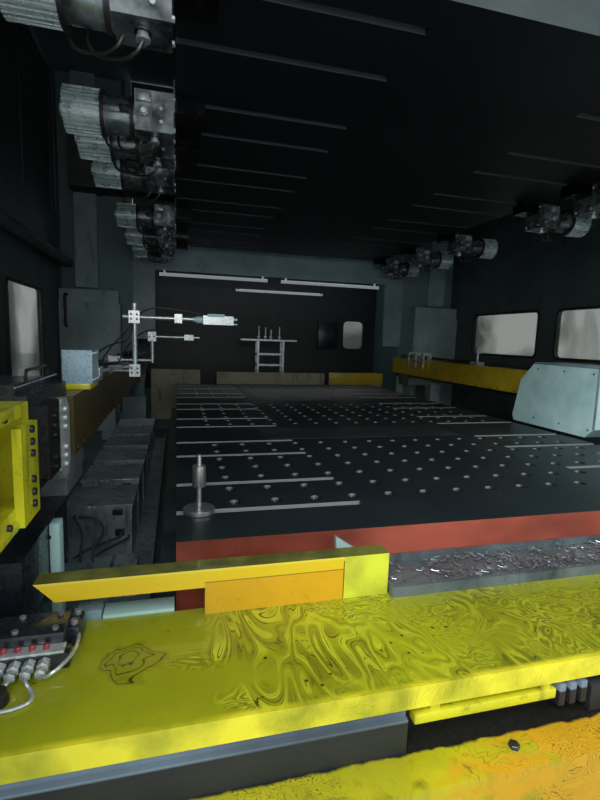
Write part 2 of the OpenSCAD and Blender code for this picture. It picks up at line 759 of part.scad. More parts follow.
// Jigs on the right bar
module right_tooling() {
    bar_top = bar_z + bar_h;
    x0 = bolster_w - bar_x1;
    y0 = bar_start + 2380;
    color("#9aa4a0") on_bolster() {
        for (y = [bar_y1 - 880, bar_y1 - 700, bar_y1 - 520]) {
            block([x0 + 20, y, bar_top], [x0 + 60, y + 40, bar_top + 90]);
            block([x0 - 50, y + 5, bar_top + 60], [x0 + 21, y + 35, bar_top + 90]);
            block([x0 - 50, y + 5, bar_top - 90], [x0 - 25, y + 35, bar_top + 61]);
        }
        block([x0 + 15, y0, bar_top], [x0 + 95, y0 + 120, bar_top + 40]);
        translate([x0 + 55, y0 + 60, bar_top + 39]) cylinder(d = post_d, h = 130);
        translate([x0 + 55, y0 + 60, bar_top + 150]) tool_clamp();
    }
}

// Guide channels and fixed upper skirt round each side door
channel_in = 7;
skirt_t = 40;
module door_frame() {
    difference() {
        union() {
            for (sy = [-1, 1]) scale([1, sy, 1])
                block([door_x - channel_in, column_y - 95, bed_h], [half_w, column_y, column_top - 10]);
            block([door_x + door_t + 10, -column_y + 94, door_z + door_h - 150],
                [door_x + door_t + 10 + skirt_t, column_y - 94, column_top - 10]);
        }
        block([door_x - seat, -column_y + 20, bed_h - 1], [door_x + door_t + seat, column_y - 20, column_top]);
    }
}
module door_frames() {
    color("#6f7d7c") {
        door_frame();
        mirrored_right() door_frame();
    }
}

// A rounded window outline, standing in the y-z plane and cut through x
module window_cut(length, height, through, inset) {
    r = window_r - inset;
    for (y = [inset, length - inset - 2 * r], z = [inset, height - inset - 2 * r])
        translate([-through / 2, y + r, z + r]) rotate([0, 90, 0]) cylinder(r = r, h = through);
    translate([-through / 2, inset + r, inset]) cube([through, length - 2 * inset - 2 * r, height - 2 * inset]);
    translate([-through / 2, inset, inset + r]) cube([through, length - 2 * inset, height - 2 * inset - 2 * r]);
}

// Three windows in a row, around the middle of the door
module window_row(length, height, sill, shift, through, inset) {
    pitch = length + mullion_w;
    for (i = [-1 : 1])
        translate([0, i * pitch - length / 2 + shift, bolster_top + sill])
            window_cut(length, height, through, inset);
}

// Side door: panel with windows and a stiff lower rail
module side_door(length, height, sill, shift) {
    difference() {
        union() {
            block([door_x, -column_y + 25, door_z], [door_x + door_t, column_y - 25, door_z + door_h]);
            block([door_x - 40, -column_y + 330, door_z], [door_x + 1, column_y - 330, door_z + 120]);
        }
        translate([door_x, 0, 0]) window_row(length, height, sill, shift, 4 * door_t, 0);
    }
}
module door_glass(length, height, sill, shift) {
    translate([door_x + door_t / 2, 0, 0]) window_row(length, height, sill, shift, glass_t, seat);
}
left_shift = -100;
right_shift = -47;
module left_door() {
    color("#4e5a5c") mirrored_right() side_door(left_window_l, left_window_h, left_window_z, left_shift);
}
module left_door_glass() {
    color("#d8e6e0", 0.4) mirrored_right()
        door_glass(left_window_l, left_window_h, left_window_z, left_shift);
}
module right_door() {
    color("#4e5a5c") side_door(right_window_l, right_window_h, right_window_z, right_shift);
}
module right_door_glass() {
    color("#d8e6e0", 0.4) door_glass(right_window_l, right_window_h, right_window_z, right_shift);
}

// Guard door behind the far window, with one window on the right and ribs outside
exit_y = half_l - 70;
exit_t = 40;
exit_window_l = 320;
exit_window_h = 415;
exit_window_x = column_in - 360;
exit_window_z = 455;
module exit_window(through, inset) {
    translate([exit_window_x, 0, bolster_top + exit_window_z]) rotate(90)
        translate([0, -exit_window_l / 2, 0]) window_cut(exit_window_l, exit_window_h, through, inset);
}
module exit_guard() {
    x1 = column_in - run_gap;
    color("#2c3335") difference() {
        union() {
            block([-x1, exit_y, door_z], [x1, exit_y + exit_t, door_z + door_h]);
            for (z = [door_z + 300, door_z + 1500, door_z + 2100])
                block([-x1, exit_y + exit_t - 1, z], [x1, half_l, z + 80]);
        }
        translate([0, exit_y, 0]) exit_window(6 * exit_t, 0);
    }
}
module exit_guard_glass() {
    color("#d8e6e0", 0.4) translate([0, exit_y + exit_t / 2, 0]) exit_window(glass_t, seat);
}

// Lamps under the tie beam and in front of the exit guard
module lamp(x0, x1, y, z) {
    translate([x0, y, z]) rotate([0, 90, 0]) cylinder(d = lamp_d, h = x1 - x0);
    for (x = [x0 + 60, x1 - 60])
        translate([x - 10, y - 10, z]) cube([20, 20, tie_z0 - z]);
}
module lamps() {
    y1 = frame_y - frame_t / 2;
    color("#dfe6ea") on_bolster() {
        lamp(300 - col_gap, mid_x - 130, y1, tie_z0 - 50);
        lamp(mid_x + 50, bolster_w + col_gap - 350, y1, tie_z0 - 50);
    }
}

// Cable tray on the bed, left of the bolster, with a row of lidded connection boxes
box_y0 = near_face + 1400;
box_pitch = 440;
box_l = 320;
box_top = -275;
lid_t = 12;
module connection_box() {
    x0 = -col_gap - 30;
    z0 = base_h - bolster_top + 10 + seat;
    difference() {
        block([x0, 0, z0], [-220, box_l, box_top - lid_t + 1]);
        block([x0 + 30, -1, z0 + 40], [-250, 6, box_top - lid_t - 25]);
    }
    block([x0 - 8, -8, box_top - lid_t], [-212, box_l + 8, box_top]);
}
module cable_tray() {
    z0 = base_h - bolster_top;
    x0 = -col_gap - 60;
    y0 = near_lift_y + lift_l + 80;
    y1 = far_lift_y - 80;
    color("#56646a") on_bolster() {
        difference() {
            block([x0, y0, z0], [-110, y1, z0 + 60]);
            block([x0 + 10, y0 - 1, z0 + 10], [-120, y1 + 1, z0 + 61]);
        }
        for (y = [box_y0 : box_pitch : y1 - box_l]) translate([0, y, 0]) connection_box();
        block([-col_gap + 30, y0 + 30, z0 + 10 + seat], [-280, y0 + 180, -425]);
        block([-265, y0 + 50, z0 + 10 + seat], [-170, y0 + 200, -430]);
    }
}

// Valve manifold on the left end of the infeed beam, with plugs and pipe fittings
module valve_manifold() {
    x0 = 10 - col_gap;
    y0 = beam_y0 + 205;
    color("#4b5250") on_bolster() {
        block([x0, y0, -beam_drop], [x0 + 238, y0 + 120, -beam_drop + 65]);
        for (i = [0 : 3]) translate([x0 + 215 - i * 52, y0 + 1, -beam_drop + 32]) rotate([90, 0, 0])
            cylinder(d = 34, h = 38);
        for (i = [0 : 4]) translate([x0 + 218 - i * 46, y0 + 18, -beam_drop + 64]) cylinder(d = 20, h = 12);
    }
}

// Hoses in the cable tray, between the first connection box and the block before it
tray_hose_d = 12;
tray_routes = [
    [[-486, 906, -322], [-486, 886, -322], [-481, 864, -322], [-472, 843, -324], [-461, 823, -329],
        [-449, 803, -337], [-439, 782, -346], [-431, 760, -354], [-425, 737, -360], [-420, 713, -363],
        [-416, 688, -364], [-413, 663, -364], [-411, 639, -368], [-410, 618, -379], [-410, 604, -395],
        [-410, 600, -410], [-410, 600, -425]],
    [[-462, 906, -322], [-462, 886, -322], [-456, 866, -319], [-441, 850, -314], [-419, 841, -310],
        [-396, 832, -311], [-373, 819, -316], [-354, 801, -326], [-341, 779, -338], [-335, 755, -349],
        [-336, 731, -358], [-342, 707, -364], [-349, 683, -367], [-354, 659, -368], [-357, 635, -371],
        [-358, 613, -381], [-358, 599, -396], [-358, 595, -411], [-358, 595, -425]],
    [[-450, 640, -440], [-450, 662, -440], [-442, 686, -438], [-427, 709, -434], [-406, 731, -430],
        [-382, 752, -427], [-358, 772, -425], [-334, 792, -424], [-311, 813, -424], [-291, 835, -426],
        [-276, 860, -428], [-270, 885, -430], [-270, 906, -430]],
    [[-362, 640, -440], [-362, 662, -440], [-354, 686, -438], [-340, 709, -436], [-323, 730, -434],
        [-305, 751, -432], [-287, 771, -431], [-270, 792, -431], [-254, 814, -432], [-242, 838, -435],
        [-236, 862, -438], [-235, 881, -440], [-235, 900, -440]],
];
function unit(v) = v / norm(v);
function run_of(route, i) = unit(route[min(i + 1, len(route) - 1)] - route[max(i - 1, 0)]);
function ring_of(point, run, d, sides) = let (u = unit(cross(run, [1, 1, 1])), v = cross(run, u))
    [for (k = [0 : sides - 1]) point + d / 2 * (u * cos(k * 360 / sides) + v * sin(k * 360 / sides))];
module hose_along(route, d, sides = 8) {
    last = len(route) - 1;
    rings = [for (i = [0 : last]) ring_of(route[i], run_of(route, i), d, sides)];
    walls = [for (i = [0 : last - 1], k = [0 : sides - 1]) let (n = (k + 1) % sides)
        [i * sides + k, i * sides + n, (i + 1) * sides + n, (i + 1) * sides + k]];
    mouth = [for (k = [0 : sides - 1]) sides - 1 - k];
    tail = [for (k = [0 : sides - 1]) last * sides + k];
    polyhedron([for (ring = rings, point = ring) point], concat([mouth], walls, [tail]));
}

// Ribbed hose along the left door, between the faces of the near and far columns
hose_d = 90;
hose_y0 = near_face;
hose_ribs = 84;
module door_hose_tube() {
    x = 95 - door_gap;
    z = 1355;
    pitch = 2 * column_y / hose_ribs;
    color("#3c4448") on_bolster() translate([x, hose_y0, z]) rotate([-90, 0, 0]) rotate_extrude()
        polygon(concat([[0, 0], [hose_d / 2, 0]], [for (i = [0 : hose_ribs - 1])
            [(i % 2 == 0 ? hose_d + 18 : hose_d) / 2, (i + 0.5) * pitch]],
            [[hose_d / 2, hose_ribs * pitch], [0, hose_ribs * pitch]]));
}
module hoses() {
    door_hose_tube();
    color("#17191a") on_bolster() for (route = tray_routes) hose_along(route, tray_hose_d);
}

// Slide: box with T-slots below and four guide ears at its upper corners
module slide() {
    ear_z = slide_top - ear_h - 60;
    face = column_y - gib_t - run_gap;
    color("#23282a") difference() {
        union() {
            block([-bolster_w / 2, -slide_l / 2, slide_z], [bolster_w / 2, slide_l / 2, slide_top]);
            for (sx = [-1, 1], sy = [-1, 1]) scale([sx, sy, 1]) {
                block([mid_x - 1, face - ear_t, ear_z], [gib_in + gib_w, face, ear_z + ear_h]);
                block([mid_x - 200, min(slide_l / 2 - 1, face - ear_t), ear_z], [mid_x, face, ear_z + ear_h]);
                block([gib_in - 60, face - 1, ear_z], [gib_in - run_gap, column_y - 15, ear_z + ear_h]);
            }
        }
        translate([-bolster_w / 2, first_slot - bolster_l / 2, slide_z]) mirror([0, 0, 1])
            t_slots(slide_slot_l, slide_rows);
    }
}

// Plungers between the slide and the crown
module plungers() {
    color("#b0b6ba") four_corners(plungers_x, plungers_y) translate([0, 0, slide_top]) {
        cylinder(d = plunger_d, h = plunger_l);
        cylinder(d = plunger_d + 140, h = 90);
    }
}

// Travelling die clamp: gearbox, jaw and T-foot in the slide's slot
module die_clamp() {
    gap = 4;
    low = -clamp_drop - gearbox_w / 2 + 5;
    difference() {
        union() {
            block([-gearbox_l - 17, -gearbox_w / 2, low], [-10, gearbox_w / 2, -gap]);
            block([-11, -60, -70], [jaw_l, 60, -gap]);
            block([-10, -slot_w / 2 + seat, -gap - 1], [jaw_l, slot_w / 2 - seat, slot_throat + seat]);
            block([-10, -slot_head_w / 2 + seat, slot_throat + seat],
                [jaw_l, slot_head_w / 2 - seat, slot_depth - 2]);
        }
        for (y = [-42, 42], z = [low + 30, -40])
            translate([-gearbox_l / 2 - 17, y, z]) cube([gearbox_l - 50, 30, 26], center = true);
    }
    translate([-gearbox_l - 17 - drive_tube_l, 0, -clamp_drop]) rotate([0, 90, 0])
        cylinder(d = drive_tube_d, h = drive_tube_l + 1);
}

// Motor can with straight fins and an end cap
module finned_motor() {
    step = 360 / fins;
    translate([-gearbox_l - 17 - drive_tube_l - motor_l, 0, -clamp_drop]) rotate([0, 90, 0]) {
        linear_extrude(motor_l) polygon([for (i = [0 : fins - 1], k = [0 : 3])
            let (r = k == 1 || k == 2 ? motor_d / 2 : motor_d / 2 - 12,
                a = (i + [0.05, 0.2, 0.6, 0.75][k]) * step) [r * cos(a), r * sin(a)]]);
        translate([0, 0, -18]) cylinder(d = 60, h = 19);
    }
}
module clamp_set() {
    on_bolster() for (y = clamp_rows) translate([0, y, daylight]) children();
}
module left_die_clamps() { color("#2f3436") clamp_set() die_clamp(); }
module left_clamp_motors() { color("#b5c4c6") clamp_set() finned_motor(); }
module right_die_clamps() { color("#2f3436") mirrored_right() clamp_set() die_clamp(); }
module right_clamp_motors() { color("#8f9a9c") mirrored_right() clamp_set() finned_motor(); }

// Flywheel on its shaft, with belt grooves and lightening holes
module flywheel() {
    reach = flywheel_w / 2 + cheek_gap + cheek_t;
    color("#5b6165") translate([flywheel_x, flywheel_y, crown_top + shaft_z]) rotate([0, 90, 0])
        difference() {
            union() {
                rotate_extrude($fn = 96) difference() {
                    translate([0, -flywheel_w / 2]) square([flywheel_d / 2, flywheel_w]);
                    translate([230, 60]) square([flywheel_d / 2 - 380, flywheel_w]);
                    translate([230, -60 - flywheel_w]) square([flywheel_d / 2 - 380, flywheel_w]);
                }
                cylinder(d = shaft_d, h = 2 * reach, center = true);
            }
            for (a = [0 : 60 : 300]) rotate(a) translate([flywheel_d / 4 + 40, 0, 0])
                cylinder(d = 160, h = 200, center = true);
        }
}

// Motor pulley and its stub shaft
stub_d = 80;
belt_y = flywheel_y - belt_centres;
belt_z = shaft_z - flywheel_d / 2 + 300;
module motor_pulley() {
    color("#70767a") translate([flywheel_x, belt_y, crown_top + belt_z]) rotate([0, 90, 0]) {
        cylinder(d = pulley_d, h = flywheel_w, center = true);
        cylinder(d = stub_d, h = flywheel_w / 2 + 150);
    }
}

// Belts round the flywheel and the pulley
module drive_belts() {
    belt_t = 14;
    big = flywheel_d / 2 + seat;
    small = pulley_d / 2 + seat;
    rise = belt_z - shaft_z;
    span = norm([belt_centres, rise]);
    lean = atan2(rise, -belt_centres);
    tilt = acos((big - small) / span);
    pitch = flywheel_w / belts;
    color("#191a1b") translate([flywheel_x, flywheel_y, crown_top + shaft_z]) rotate([90, 0, 90])
        for (i = [0 : belts - 1]) translate([0, 0, (i - (belts - 1) / 2) * pitch - pitch * 0.35])
            linear_extrude(pitch * 0.7) rotate(lean) difference() {
                belt_outline(big + belt_t, small + belt_t, span, tilt);
                belt_outline(big, small, span, tilt);
            }
}
module belt_outline(big, small, span, tilt) {
    // The straight runs meet each circle a little inside it
    dip = 1.5;
    circle(r = big, $fn = 96);
    translate([span, 0]) circle(r = small);
    polygon([for (end = [[0, big - dip, 1], [span, small - dip, 1], [span, small - dip, -1],
        [0, big - dip, -1]]) [end[0] + end[1] * cos(tilt), end[1] * end[2] * sin(tilt)]]);
}

// Main motor: ribbed body on a foot, with an end shield and terminal box
module main_motor() {
    body_d = 620;
    body_l = 900;
    x0 = flywheel_x + flywheel_w / 2 + 90 + 10;
    color("#5f7c86") translate([x0, belt_y, crown_top + belt_z]) difference() {
        union() {
            rotate([0, 90, 0]) linear_extrude(body_l) polygon([for (i = [0 : 59], k = [0 : 3])
                let (r = k == 1 || k == 2 ? body_d / 2 : body_d / 2 - 25, a = (i + k * 0.25) * 6)
                [r * cos(a), r * sin(a)]]);
            block([60, -body_d / 2, -belt_z], [body_l - 60, body_d / 2, -body_d / 2 + 60]);
            block([250, -150, body_d / 2 - 40], [560, 150, body_d / 2 + 110]);
        }
        translate([-1, 0, 0]) rotate([0, 90, 0]) cylinder(d = stub_d + 0.1, h = 80);
    }
}

bed();
upright_near_left();
upright_near_right();
upright_far_left();
upright_far_right();
crown();
flywheel_bearings();
deck_railing();
tie_rods();
gib_rails();
bolster();
far_window_frame();
infeed_beam();
infeed_lower_beam();
infeed_guide_rail();
guard_bar();
chip_tray();
outfeed_beam();
outfeed_drive_box();
outfeed_panels();
part_stand();
lift_unit_near_left();
lift_unit_near_right();
lift_unit_far_left();
lift_unit_far_right();
door_frames();
lamps();
cable_tray();
valve_manifold();
hoses();
main_motor();
drive_belts();
slide();
plungers();
left_die_clamps();
left_clamp_motors();
right_die_clamps();
right_clamp_motors();
left_bar();
left_bar_end();
left_bar_casting();
left_splice_plates();
left_tooling();
left_valve_box();
right_bar();
right_bar_end();
right_bar_hood();
right_tooling();
left_lift_slides();
left_clamp_slides();
right_lift_slides();
right_clamp_slides();
left_door();
left_door_glass();
right_door();
right_door_glass();
exit_guard();
exit_guard_glass();
flywheel();
motor_pulley();
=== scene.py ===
"""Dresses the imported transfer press: finishes, fittings, hoses, lamps, stage and camera.

Places inside the press are given in millimetres from the bolster's left edge, its first
T-slot row and its top face, and turned into the row frame by at().
"""

import logging
import math
import random
from collections.abc import Callable, Iterator, Sequence
from contextlib import contextmanager
from dataclasses import dataclass, field
from enum import Enum
from itertools import product

import bpy
from mathutils import Matrix, Vector


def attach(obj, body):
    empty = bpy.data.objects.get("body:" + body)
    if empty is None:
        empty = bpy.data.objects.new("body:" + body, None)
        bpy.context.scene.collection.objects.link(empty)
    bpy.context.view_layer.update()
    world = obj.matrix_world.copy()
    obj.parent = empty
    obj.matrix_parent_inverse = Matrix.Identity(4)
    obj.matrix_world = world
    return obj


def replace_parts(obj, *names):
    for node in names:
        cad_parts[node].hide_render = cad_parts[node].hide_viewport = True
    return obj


LOG = logging.getLogger("press")
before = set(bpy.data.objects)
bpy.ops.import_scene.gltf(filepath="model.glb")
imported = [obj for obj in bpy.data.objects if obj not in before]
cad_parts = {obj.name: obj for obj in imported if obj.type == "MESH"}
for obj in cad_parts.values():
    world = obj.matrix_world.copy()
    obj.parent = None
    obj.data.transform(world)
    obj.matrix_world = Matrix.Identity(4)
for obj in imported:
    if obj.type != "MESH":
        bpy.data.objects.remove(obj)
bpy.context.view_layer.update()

Point = tuple[float, float, float]
Tone = tuple[float, float, float]

MM = 0.001
BOLSTER_W = 2500
BOLSTER_MID_Y = 2025
BOLSTER_TOP = 900
WINDOW_GAP = 500
SHEET_Z = 3392
BAR_TOP = 375
RING_SIDES = 32
RING_CORNER = 62.0
RING_RADIUS = 13
SMOOTH_ANGLE = math.radians(35)
CLAMP_ROWS = (0, 750, 1050, 1500, 2550, 3300, 4050)
DECK_Z = 6400
FLYWHEEL = (-1500, 700, DECK_Z + 870)
MOTOR_END = (-350, -800, DECK_Z + 420)
X, Y, Z = (Vector(axis) for axis in ((1, 0, 0), (0, 1, 0), (0, 0, 1)))


def at(x: float, y: float, z: float) -> Vector:
    """Returns a place in the row frame, in metres, from millimetres on the bolster."""
    return Vector((x - BOLSTER_W / 2, y - BOLSTER_MID_Y, z + BOLSTER_TOP)) * MM


def press(x: float, y: float, z: float) -> Vector:
    """Returns a place in the row frame, in metres, from millimetres in that frame."""
    return Vector((x, y, z)) * MM


class Side(Enum):
    """Left or right of the press, seen from the infeed."""

    LEFT = 1
    RIGHT = -1

    @property
    def tag(self) -> str:
        """The side's name in the names of pieces and bodies."""
        return self.name.lower()

    @property
    def inward(self) -> Vector:
        """The direction from this side to the middle."""
        return X * self.value

    def x(self, left_x: float) -> float:
        """Returns the x on this side that mirrors left_x, in millimetres on the bolster."""
        return left_x if self is Side.LEFT else BOLSTER_W - left_x

    def at(self, x: float, y: float, z: float) -> Vector:
        """Returns the place on this side that mirrors at() of the left side."""
        return at(self.x(x), y, z)


# ---- Finishes


@dataclass(frozen=True)
class Field:
    """A number or colour that changes over a material. Arithmetic on it adds nodes."""

    shader: "Shader"
    socket: bpy.types.NodeSocket

    def maths(self, operation: str, other: object = 0.0) -> "Field":
        """Returns a math node's value for this and another number."""
        made = self.shader.node("ShaderNodeMath", (self, other), operation=operation)
        return Field(self.shader, made.outputs["Value"])

    def __mul__(self, other: object) -> "Field":
        """Returns the product."""
        return self.maths("MULTIPLY", other)

    def __add__(self, other: object) -> "Field":
        """Returns the sum."""
        return self.maths("ADD", other)

    def __sub__(self, other: object) -> "Field":
        """Returns the difference."""
        return self.maths("SUBTRACT", other)

    def __or__(self, other: object) -> "Field":
        """Returns the larger of the two."""
        return self.maths("MAXIMUM", other)

    def __abs__(self) -> "Field":
        """Returns the value without its sign."""
        return self.maths("ABSOLUTE")

    def waves(self, rate: float) -> "Field":
        """Returns the sine of the value times rate."""
        return (self * rate).maths("SINE")

    def ramp(self, low: float, high: float, start: float = 0, end: float = 1) -> "Field":
        """Returns the value mapped from low..high to start..end and held there."""
        made = self.shader.node("ShaderNodeMapRange", (self, low, high, start, end))
        return Field(self.shader, made.outputs["Result"])

    def blend(self, first: object, second: object) -> "Field":
        """Returns a colour that goes from first to second as this goes from 0 to 1."""
        made = self.shader.node("ShaderNodeMix", data_type="RGBA")
        for place, value in ((0, self), (6, first), (7, second)):
            self.shader.feed(made.inputs[place], value)
        return Field(self.shader, made.outputs[2])


class Shader:
    """Wires the nodes of one material."""

    def __init__(self, name: str) -> None:
        """Starts a material with one surface node and its Object coordinates."""
        self.material = bpy.data.materials.new(name)
        self.material.use_nodes = True
        self.tree = self.material.node_tree
        self.surface = self.tree.nodes["Principled BSDF"]
        place = self.tree.nodes.new("ShaderNodeTexCoord").outputs["Object"]
        self.place = Field(self, place)

    def node(
        self, kind: str, values: Sequence[object] = (), **settings: object
    ) -> bpy.types.Node:
        """Adds a node, feeds its first sockets and sets its properties."""
        made = self.tree.nodes.new(kind)
        for key, value in settings.items():
            setattr(made, key, value)
        for socket, value in zip(made.inputs, values):
            self.feed(socket, value)
        return made

    def feed(self, socket: bpy.types.NodeSocket, value: object) -> None:
        """Links a socket, or writes a number or tone into it."""
        if isinstance(value, Field):
            self.tree.links.new(value.socket, socket)
        elif socket.type == "RGBA":
            socket.default_value = (*value, 1)
        else:
            socket.default_value = value

    def noise(
        self, scale: float, detail: float = 4, stretch: Point | None = None, twist: float = 0
    ) -> Field:
        """Returns a noise from 0 to 1.

        Args:
            scale: Patches in a metre, before stretching.
            detail: Octaves.
            stretch: How much faster it changes along each axis.
            twist: How far the pattern is distorted.

        Returns:
            The noise's value.
        """
        place = self.place
        if stretch:
            mapping = self.node("ShaderNodeMapping", (place,))
            mapping.inputs["Scale"].default_value = stretch
            place = Field(self, mapping.outputs["Vector"])
        made = self.node("ShaderNodeTexNoise", (place,))
        for key, value in (("Scale", scale), ("Detail", detail), ("Distortion", twist)):
            made.inputs[key].default_value = value
        return Field(self, made.outputs["Fac"])

    def cells(self, scale: float) -> Field:
        """Returns the distance from the middle of the nearest cell, scale cells in a metre."""
        made = self.node("ShaderNodeTexVoronoi", (self.place,))
        made.inputs["Scale"].default_value = scale
        return Field(self, made.outputs["Distance"])

    def axes(self, vector: Field | None = None) -> tuple[Field, ...]:
        """Returns the three parts of a vector, by default the place."""
        made = self.node("ShaderNodeSeparateXYZ", (vector or self.place,))
        return tuple(Field(self, part) for part in made.outputs)

    def normal(self) -> tuple[Field, ...]:
        """Returns the three parts of the face's own direction."""
        made = self.node("ShaderNodeNewGeometry")
        return self.axes(Field(self, made.outputs["True Normal"]))

    def distance(self, centre: Point) -> Field:
        """Returns the distance from a place, in metres."""
        made = self.node("ShaderNodeVectorMath", (self.place, centre), operation="DISTANCE")
        return Field(self, made.outputs["Value"])

    def relief(self, height: Field, depth: float, strength: float) -> None:
        """Bumps the surface by a height, depth metres deep."""
        made = self.node("ShaderNodeBump")
        for key, value in (("Strength", strength), ("Distance", depth), ("Height", height)):
            self.feed(made.inputs[key], value)
        self.set(Normal=Field(self, made.outputs["Normal"]))

    def set(self, **values: object) -> None:
        """Feeds the surface's sockets by name, with _ for a space."""
        for key, value in values.items():
            self.feed(self.surface.inputs[key.replace("_", " ")], value)


@dataclass(frozen=True)
class Finish:
    """A paint, metal or rubber with patches, dirt and grain."""

    name: str
    tone: Tone
    shade: Tone
    dirt: Tone = (0.02, 0.02, 0.018)
    dirty: float = 0.35
    metal: float = 0.0
    rough: float = 0.45
    patch: float = 3.0
    grain: float = 90.0
    lie: Point = (1.0, 1.0, 1.0)
    coat: float = 0.0
    depth: float = 0.0006

    def colour(self, shader: Shader) -> Field:
        """Returns the finish's colour, patched and dirtied."""
        ground = shader.noise(self.patch, 6).ramp(0.35, 0.65).blend(self.tone, self.shade)
        runs = shader.noise(self.patch * 2.2, 5, (1.6, 1.6, 0.35), 0.6)
        spots = shader.noise(self.patch * 9, 3)
        runs = runs.ramp(0.78 - 0.42 * self.dirty, 0.95 - 0.3 * self.dirty, 0, 0.8)
        spots = spots.ramp(0.66 - 0.1 * self.dirty, 0.74, 0, 0.7 * self.dirty)
        return (runs + spots).blend(ground, self.dirt)

    def dress(self, shader: Shader) -> None:
        """Wires the whole surface."""
        grain = shader.noise(self.grain, 3, self.lie)
        shader.set(
            Base_Color=self.colour(shader),
            Metallic=self.metal,
            Coat_Weight=self.coat,
            Roughness=grain.ramp(0.3, 0.7, max(0.05, self.rough - 0.12), self.rough + 0.15),
        )
        shader.relief(grain, self.depth, 0.35)

    def material(self) -> bpy.types.Material:
        """Returns the finish's material, made once."""
        name = f"dressed_{self.name}"
        known = bpy.data.materials.get(name)
        if known:
            return known
        shader = Shader(name)
        self.dress(shader)
        return shader.material


@dataclass(frozen=True)
class GreasyPaint(Finish):
    """Yellow-green paint under swirls of grease, with oil spots, a wiped front lip and near-black
    painted shade on the faces in the recess behind it.
    """

    lip_y: float = -2.765
    stain: Point = (-1.342, -2.567, 0.78)
    stain_r: float = 0.068
    stained: Tone = (0.16, 0.155, 0.008)
    wiped: Tone = (0.68, 0.72, 0.035)
    smudged: Tone = (0.10, 0.10, 0.006)
    murky: Tone = (0.11, 0.095, 0.01)
    clean: Tone = (0.80, 0.72, 0.03)
    recess_shade: Tone = (0.008, 0.009, 0.008)

    def dress(self, shader: Shader) -> None:
        """Wires the whole surface."""
        x, y, _ = shader.axes()
        ground = shader.noise(2.2, 6).ramp(0.38, 0.62).blend(self.tone, self.shade)
        spots = shader.cells(30).ramp(0.16, 0.10) * shader.noise(6, 2).ramp(0.54, 0.6)
        bright, dark, lines = self.smears(shader, x)
        wobble = shader.noise(13, 1.5, twist=0.8).ramp(0.2, 0.8, -0.035, 0.035)
        reach = shader.distance(self.stain) + wobble
        inside = reach.ramp(self.stain_r, self.stain_r * 0.96)
        grease = lines | spots | inside * abs(reach.waves(175)).ramp(0.42, 0.14)
        murk = x.ramp(-0.75, 0.25) * shader.noise(1.8, 5).ramp(0.3, 0.6, 0.25, 0.8)
        worn = ground
        for share, tone in (
            (inside * 0.35, self.stained), (bright * 0.6, self.wiped), (dark * 0.55, self.smudged),
            (murk, self.murky), (grease * 0.9, self.dirt),
        ):
            worn = share.blend(worn, tone)
        # Painted shade: faces that face the infeed, behind the lip's plane, turn near black.
        recess = shader.normal()[1].ramp(-0.6, -0.8) * y.ramp(-2.74, -2.73)
        lip = y.ramp(self.lip_y + 0.012, self.lip_y)
        clean = shader.noise(7, 5).ramp(0.42, 0.7).blend(self.clean, self.shade)
        shader.set(
            Base_Color=recess.blend(lip.blend(worn, clean), self.recess_shade),
            Coat_Weight=0.35,
            Roughness=grease.ramp(0, 1, 0.42, 0.2),
        )
        shader.relief(grease + shader.noise(70, 4) * 0.4, 0.0016, 0.5)

    def smears(self, shader: Shader, x: Field) -> tuple[Field, Field, Field]:
        """Returns the bright wipes, the dark wipes and the lines that fingers left in the grease.

        Args:
            shader: The material's wiring.
            x: Position across the press, in metres.

        Returns:
            Three shares from 0 to 1.
        """
        lays = []
        hands = ((4.2, (1, 1.7, 1), 76, 2.2), (3.0, (2.6, 1, 1), 60, 0.9))
        for scale, stretch, rate, twist in hands:
            drift = shader.noise(scale, 2.2, stretch, twist)
            lays.append((drift.waves(rate), abs(drift.waves(rate * 1.9))))
        pick = shader.noise(2.3, 3, twist=1).ramp(0.49, 0.52)
        wave, comb = (pick.blend(*pair) for pair in zip(*lays))
        spread = x.ramp(-1.42, -1.05, 0, 0.30) + shader.noise(3.1, 5, (1, 1.6, 1), 1)
        zone = spread.ramp(0.60, 0.80) * shader.noise(9, 4).ramp(0.3, 0.6, 0.35, 1)
        broken = shader.noise(21, 3).ramp(0.40, 0.50, 0.25, 1)
        lines = comb.ramp(0.40, 0.12) * broken
        return wave.ramp(0.25, 0.85) * zone, wave.ramp(-0.35, -0.85) * zone, lines * zone


